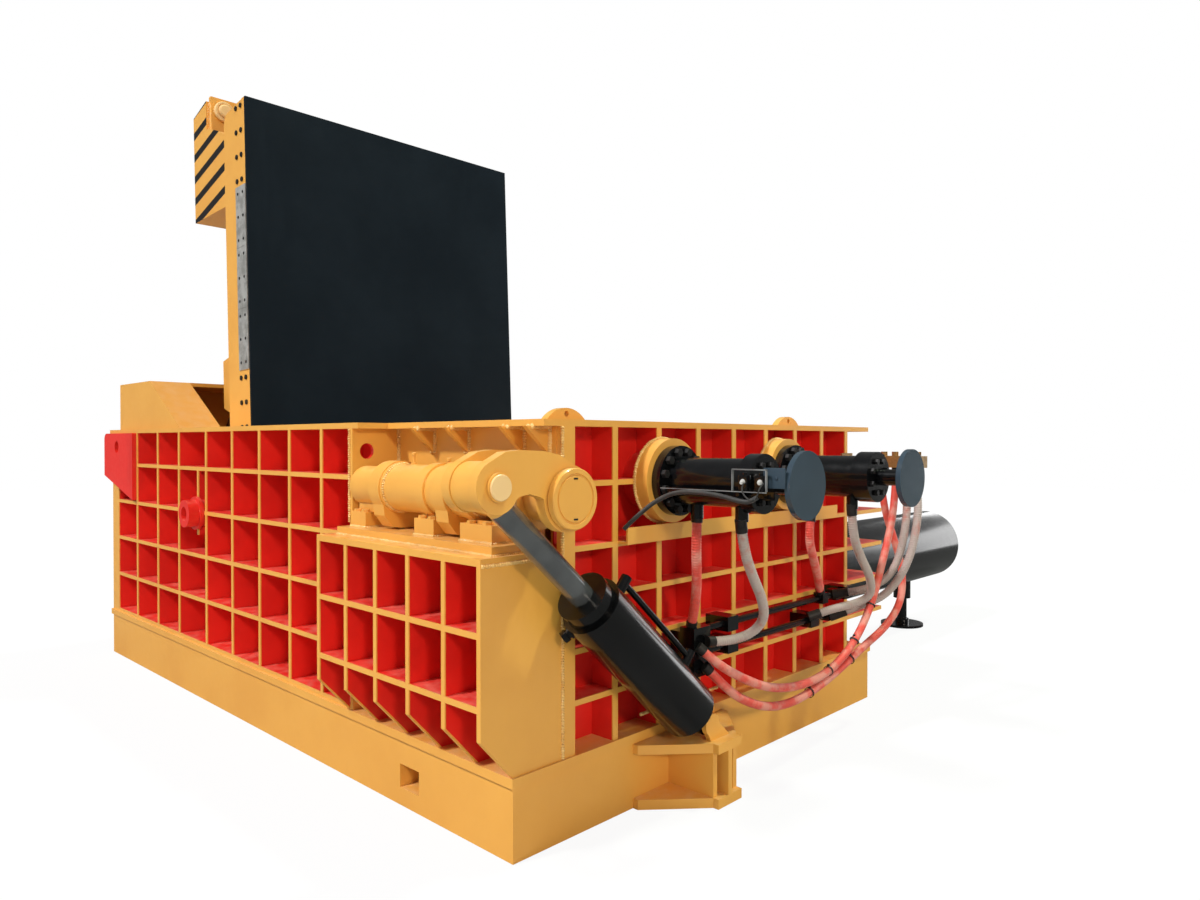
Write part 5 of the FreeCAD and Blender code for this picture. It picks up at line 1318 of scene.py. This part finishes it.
# ------------------------------------------------------------------ paint on the frame
@dataclass
class PaintPlan(Step):
    """Which finish each node of the frame gets."""

    edge: float = 0.006
    front: float = -1.540
    lock_end: float = 2.495
    rear: float = 1.540
    rear_box: float = 1.741
    rear_inside: float = 1.26
    end: float = -2.495
    end_half: float = 1.534
    corner: float = -2.371
    box_left: float = 1.203
    box_right: float = 2.492
    bay_left: float = 1.257
    top: float = 1.776
    base: float = 0.345

    def _cells(self) -> Dict[str, Tuple[str, Values]]:
        """The scarlet insides of the ribbed nodes, whose ribs keep gold edges.

        Returns:
            The material's name and the mask's inputs for each node.
        """
        edge, base, top = self.edge, self.base, self.top
        slant_y, slant_z = 0.741, 0.671
        return {
            "front_wall": ("front_cells", {
                "Low": (self.corner, self.front + edge, base),
                "High": (self.bay_left - 0.003, -1.28, top)}),
            "bearing_box": ("box_cells", {
                "Low": (self.box_left, -1.697, base), "High": (self.box_right, -1.33, 1.218),
                "Slant": (0.0, -slant_y, -slant_z),
                "Slant reach": slant_y * 1.703 - slant_z * 0.530 - edge}),
            "lock_wall": ("lock_cells", {
                "Low": (2.355, -1.297, base), "High": (self.lock_end - edge, 1.2495, top)}),
            "rear_wall": ("rear_cells", {
                "Low": (self.corner, self.rear_inside, base),
                "High": (self.box_right, self.rear - edge, top),
                "Second low": (self.box_left, self.rear_inside, base),
                "Second high": (self.box_right, self.rear_box - edge, top)}),
            "end_wall": ("end_cells", {
                "Low": (self.end + edge, -self.end_half, base),
                "High": (-2.36, self.end_half, top)}),
        }

    def build(self) -> None:
        """Dresses every node that stays in sight."""
        shop, made = self.workshop, self.workshop.made
        discs = shop.paint("disc_and_rod", JET, SLATE, {
            "Low": (3.2569, -1.0, 1.2), "High": (3.30, 1.0, 1.8)})
        striped = shop.paint("striped_box", GOLD, JET, {
            "Across": (-0.266, 0.0, 0.964), "Pitch": 0.160, "Shift": -0.046, "Share": 0.35,
            "Near side": -1.2375, "Far side": 1.0605, "Reach": -1.0}, shop.shelf.stripes)
        groups = (
            (made["gold_paint"], "base_frame shaft_bay top_plate hood lid_seat pillow_blocks "
             "foot_bracket lid crank_plates crank_pin turnout_shaft turnout_flap lid_ears "
             "pillow_bolts"),
            (made["jet_paint"], "side_barrels main_barrel lock_barrels lock_caps pipes "
             "pipe_blocks sensor_rail jack_foot lid_barrel_near lid_barrel_far turnout_barrel"),
            (made["scarlet_paint"], "lug_plates pivot_bosses"),
            (made["plate_steel"], "chamber_liners chamber_floor side_ram main_ram"),
            (made["strip_steel"], "lid_wear_strips"),
            (made["black_iron"], "pivot_shaft hose_fittings"),
            (made["black_bolt"], "cylinder_bolts lid_bolts"),
            (made["warm_brass"], "manifold"),
            (shop.paint("night_paint", NIGHT), "lid_liner"),
            (discs, "lock_bolt_near lock_bolt_far"),
            (striped, "landing_box"),
            (shop.chrome("side_rod_chrome", ALONG_X), "side_rods"),
            (shop.chrome("main_rod_chrome", ALONG_Y), "main_rod"),
            (shop.chrome("lid_rod_chrome", (-0.86, 0, 0.5)), "lid_rod_near lid_rod_far"),
            (shop.capped_rod("turnout_rod_finish", TURNOUT_WAY, -2.262, GOLD), "turnout_rod"),
        )
        plan = {node: material for material, nodes in groups for node in nodes.split()}
        for node, (name, mask) in self._cells().items():
            plan[node] = shop.paint(name, GOLD, SCARLET, mask)
        for name, material in plan.items():
            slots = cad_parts[name].data.materials
            if not slots:
                slots.append(material)
            for index in range(len(slots)):
                slots[index] = material


# ------------------------------------------------------------------ weld beads
@dataclass
class Seams(Step):
    """Weld beads along the joints that stay in sight."""

    width: float = 0.0095
    wide: float = 0.0135
    pitch: float = 0.011
    bay_face: float = -1.270
    bay_top: float = 1.764
    gussets: Sequence[float] = (1.557, 1.835, 2.234, 2.398)
    gusset_plate: float = 0.025
    wall: float = 2.496

    def _bay(self) -> List[Line]:
        """Seams of the bay's gussets.

        Returns:
            The lines.
        """
        face, top, shelf = self.bay_face, self.bay_top, 1.766
        lines: List[Line] = []
        for x in self.gussets:
            for side in (x, x + self.gusset_plate):
                lines.append([(side, face, 1.650), (side, face, top)])
                lines.append([(side, face, shelf), (side, -1.372, shelf)])
        lines.append([(1.260, face, 1.586), (1.260, face, top)])
        return lines

    def _body(self) -> List[Line]:
        """Seams of the blocks, their pad, the lock rings, the box, the post and the bracket.

        Returns:
            The lines.
        """
        foot, pad, inner, outer, wall = 1.284, 1.246, -1.340, -1.572, self.wall
        lines: List[Line] = [
            [(x, inner, foot), (x, outer, foot), (x + length, outer, foot),
             (x + length, inner, foot)]
            for x, length in ((1.300, 0.135), (1.850, 0.148), (2.190, 0.212))]
        lines.append([(1.262, -1.624, pad), (2.466, -1.624, pad), (2.466, -1.330, pad)])
        lines += [circle((wall, y, 1.518), ALONG_X, 0.200, 72) for y in (-0.605, 0.422)]
        return lines + [
            [(wall, -1.266, 0.356), (wall, -1.266, 1.762)],
            [(wall, -1.695, 1.216), (wall, -1.330, 1.216)],
            [(2.497, -0.760, 0.425), (2.497, -0.160, 0.425)],
            [(1.231, -1.541, 1.300), (1.231, -1.541, 1.760)],
        ]

    def build(self) -> None:
        """Builds the baler's seams and the shaft's."""
        bead = self.workshop.paint("bead_paint", BEAD)
        scarlet = self.workshop.made["scarlet_paint"]
        x, _, z = LID_PIVOT
        bosses = [circle((x, y, z), (0, way, 0), 0.091, 40)
                  for y, way in ((-1.541, -1), (1.541, 1))]
        collars = [circle((place, SHAFT_Y, SHAFT_Z), ALONG_X, radius, 56)
                   for radius, places in ((0.1135, (1.497, 1.612, 2.179)),
                                          (0.099, (2.235, 2.545, 2.751)))
                   for place in places]
        for name, lines, material, body, slot, width in (
                ("body_seams", self._body(), bead, Body.BALER, Slot.YELLOW, self.width),
                ("bay_seams", self._bay(), bead, Body.BALER, Slot.YELLOW, self.wide),
                ("boss_seams", bosses, scarlet, Body.BALER, Slot.RED, self.width),
                ("shaft_seams", collars, bead, Body.TURNOUT, Slot.YELLOW, self.width)):
            piece = self.grower.grow(name, lines, self.grower.beads, {
                "Width": width, "Pitch": self.pitch, "Seed": 7, "Material": material})
            settle(piece, body)


# ------------------------------------------------------------------ lid details
@dataclass
class LidDetails(Step):
    """Screws on the wear strips and the landing feet on the lid's free end."""

    lean: float = math.radians(2.3)
    ends: Sequence[Tuple[str, float, int]] = (("near", -1.238, -1), ("far", 1.061, 1))
    strip_start: float = 0.969
    strip_length: float = 0.425
    strips: int = 3
    strip_proud: float = 0.006
    foot_place: float = 2.950
    foot_inset: float = 0.112
    foot_face: float = -0.447

    def _spot(self, along: float, off: float, y: float) -> Vector:
        """Point given in the lid's own directions.

        Args:
            along: distance from the pivot along the lid.
            off: distance from the pivot towards the lid's face.
            y: place across the lid.

        Returns:
            The point.
        """
        sine, cosine = math.sin(self.lean), math.cos(self.lean)
        return Vector((LID_PIVOT[0] - along * sine + off * cosine, y,
                       LID_PIVOT[2] + along * cosine + off * sine))

    def build(self) -> None:
        """Builds the lid's small parts."""
        made, length = self.workshop.made, self.strip_length
        for side, y, way in self.ends:
            points = [[self._spot(self.strip_start + strip * length + share * length, off,
                                  y + way * self.strip_proud)]
                      for strip in range(self.strips) for share in (0.12, 0.5, 0.88)
                      for off in (0.035, 0.112)]
            screws = self.grower.grow("strip_screws_" + side, points, self.grower.heads, {
                "Direction": (0.0, float(way), 0.0), "Head radius": 0.008,
                "Head height": 0.002, "Sides": 14, "Washer radius": 0.011,
                "Washer height": 0.0008, "Material": made["black_bolt"]})
            settle(screws, Body.LID)
        face = (math.cos(self.lean), 0.0, math.sin(self.lean))
        for side, y, way in self.ends:
            foot = Solid("landing_foot_" + side)
            foot.turned(self._spot(self.foot_place, self.foot_face, y - way * self.foot_inset),
                        face, ((-0.004, 0), (-0.004, 0.074), (0.016, 0.074), (0.021, 0.069),
                               (0.021, 0.058), (0.012, 0.053), (0.012, 0.050), (0.034, 0.046),
                               (0.040, 0.038), (0.041, 0)), 44)
            foot.finish(made["cream_paint"], Body.LID, Slot.YELLOW)


# ------------------------------------------------------------------ shaft details
@dataclass
class ShaftDetails(Step):
    """Caps of the turn-out shaft and of its pin, the grease line and the barrel's port."""

    cap_face: float = 2.780
    cap_radius: float = 0.119
    cap_sunk: float = 0.002
    pin_y: float = -1.824
    pin_z: float = 1.538
    pin_face: float = 2.765
    flat_angle: float = 25.0
    port_place: float = 0.815

    def _caps(self) -> None:
        """Builds the shaft's cap, black blocks of painted shade in its notches, and the pin's
        cap.
        """
        made, face, r = self.workshop.made, self.cap_face, self.cap_radius
        cap = Solid("shaft_cap_rim")
        cap.turned((face - self.cap_sunk, SHAFT_Y, SHAFT_Z), ALONG_X,
                   ((0, 0), (0, r), (0.006, r), (0.010, r - 0.004), (0.010, r - 0.020),
                    (0.004, r - 0.023), (0.004, r - 0.028), (0.009, r - 0.031),
                    (0.009, 0)), 64)
        cap.finish(made["gold_paint"], Body.TURNOUT, Slot.YELLOW, self.flat_angle)
        # The notches are drawn as small black blocks proud of the cap: painted shade where the
        # notches sink in.
        notch_shade = Solid("shaft_cap_notch_shade")
        for step in (-0.078, 0.078):
            notch_shade.block((face + 0.004, SHAFT_Y - 0.011, SHAFT_Z + step - 0.0035),
                        (face + 0.0085, SHAFT_Y + 0.011, SHAFT_Z + step + 0.0035), 0.001)
        notch_shade.finish(made["tie_plastic"], Body.TURNOUT, Slot.BLACK)
        pin = Solid("crank_pin_cap")
        pin.turned((self.pin_face - self.cap_sunk, self.pin_y, self.pin_z), ALONG_X,
                   ((0, 0), (0, 0.048), (0.007, 0.048), (0.010, 0.045), (0.010, 0)), 44)
        pin.finish(made["cream_paint"], Body.TURNOUT, Slot.YELLOW, self.flat_angle)

    def _grease(self) -> None:
        """Builds the nipples on top of the shaft and the line behind them with its clips."""
        grease = Solid("grease_nipples")
        for x, tall in ((1.700, 0.030), (1.975, 0.008)):
            grease.turned((x, SHAFT_Y, SHAFT_Z + 0.1105), ALONG_Z,
                          ((0, 0), (0, 0.013), (0.010, 0.013), (0.011, 0.007),
                           (0.014 + tall, 0.007), (0.015 + tall, 0.011), (0.027 + tall, 0.011),
                           (0.029 + tall, 0.008), (0.029 + tall, 0)), 20)
        grease.turned((1.640, SHAFT_Y + 0.078, SHAFT_Z + 0.098), ALONG_X,
                      ((0, 0), (0, 0.007), (0.510, 0.007), (0.510, 0)), 16)
        for x in (1.650, 1.890, 2.130):
            grease.turned((x, SHAFT_Y + 0.062, SHAFT_Z + 0.080), (0, 0.64, 0.77),
                          ((0, 0), (0, 0.010), (0.030, 0.010), (0.030, 0)), 16)
        grease.finish(self.workshop.made["gold_paint"], Body.TURNOUT, Slot.YELLOW)

    def build(self) -> None:
        """Builds the caps, the grease line and the port."""
        self._caps()
        self._grease()
        port = Solid("turnout_port")
        port.turned((2.648, self.pin_y + TURNOUT_WAY[1] * self.port_place,
                     self.pin_z + TURNOUT_WAY[2] * self.port_place), (-0.55, -0.557, -0.622),
                    ((0.110, 0), (0.110, 0.030), (0.142, 0.030), (0.144, 0.022), (0.152, 0.022),
                     (0.154, 0.027), (0.176, 0.027), (0.178, 0.018), (0.178, 0)), 28)
        port.finish(self.workshop.made["jet_paint"], Body.TURNOUT_BARREL, Slot.BLACK)


# ------------------------------------------------------------------ switches
@dataclass
class SwitchFrame(Step):
    """Open frame on the near sensor rail with two switches, and the bar they follow."""

    rail_front: float = -0.8138
    rail_top: float = 1.496
    x_start: float = 3.030
    x_end: float = 3.200
    y: float = -0.792
    height: float = 0.092
    bar_thickness: float = 0.005
    disc_face: float = 3.257

    def _frame(self) -> None:
        """Builds the frame, and a grey strip along the rail's top edge that is a painted
        highlight.
        """
        x0, x1, z, bar = self.x_start, self.x_end, self.rail_top, self.bar_thickness
        front, back, top = self.y - 0.004, self.y + 0.008, z + self.height
        edge = Solid("rail_edge_highlight_and_frame")
        # Grey strip along the rail's top front edge: a painted highlight on the black rail.
        edge.block((2.660, self.rail_front - 0.0035, z - 0.004), (3.215, self.rail_front, z),
                   0.001)
        for x in (x0, x1 - bar):
            edge.block((x, front, z), (x + bar, back, top), 0.001)
        edge.block((x0, front, top - bar), (x1, back, top), 0.001)
        edge.finish(self.workshop.made["worn_edge"], Body.BALER, Slot.BLACK)

    def _switches(self) -> None:
        """Builds the switches and their plugs."""
        y, z = self.y, self.rail_top
        switches = Solid("limit_switches")
        for x in (3.062, 3.142):
            switches.block((x, y - 0.002, z), (x + 0.046, y + 0.024, z + 0.066), 0.003)
            switches.turned((x + 0.023, y + 0.014, z + 0.064), ALONG_Z,
                            ((0, 0), (0, 0.009), (0.012, 0.009), (0.014, 0.005), (0.014, 0)), 16)
        switches.finish(self.workshop.made["jet_paint"], Body.BALER, Slot.BLACK)
        plugs = Solid("switch_plugs")
        for x, lean in ((3.086, 0.25), (3.168, 0.45)):
            plugs.turned((x, y + 0.001, z + 0.040), (lean, -1.0, -0.2),
                         ((0, 0), (0, 0.011), (0.010, 0.011), (0.012, 0.0085),
                          (0.020, 0.0085), (0.022, 0.006), (0.028, 0.006), (0.028, 0)), 20)
        plugs.finish(self.workshop.made["grey_plastic"], Body.BALER, Slot.BOLT)

    def build(self) -> None:
        """Builds the frame, the switches and the bar."""
        self._frame()
        self._switches()
        z, face = self.rail_top, self.disc_face
        bar = Solid("follower_bar")
        bar.block((3.165, -0.762, z + 0.014), (face + 0.010, -0.754, z + 0.098), 0.002)
        bar.block((face - 0.004, -0.756, z + 0.030), (face + 0.004, -0.735, z + 0.060), 0.001)
        bar.turned((3.228, -0.762, z + 0.056), (0, -1, 0),
                   ((0, 0), (0, 0.007), (0.004, 0.007), (0.005, 0.005), (0.005, 0)), 14)
        bar.finish(self.workshop.made["slate_paint"], Body.LOCK_NEAR, Slot.DARK)


def main() -> None:
    """Builds every piece in order."""
    logging.basicConfig(level=logging.INFO, format="%(name)s: %(message)s")
    Studio().build()
    workshop, grower = Workshop(EffectShelf()), Grower()
    for step in (HoseSet, PaintPlan, Seams, LidDetails, ShaftDetails, SwitchFrame):
        step(workshop, grower).build()
        LOG.info("%s built", step.__name__)


if __name__ == "__main__":
    main()
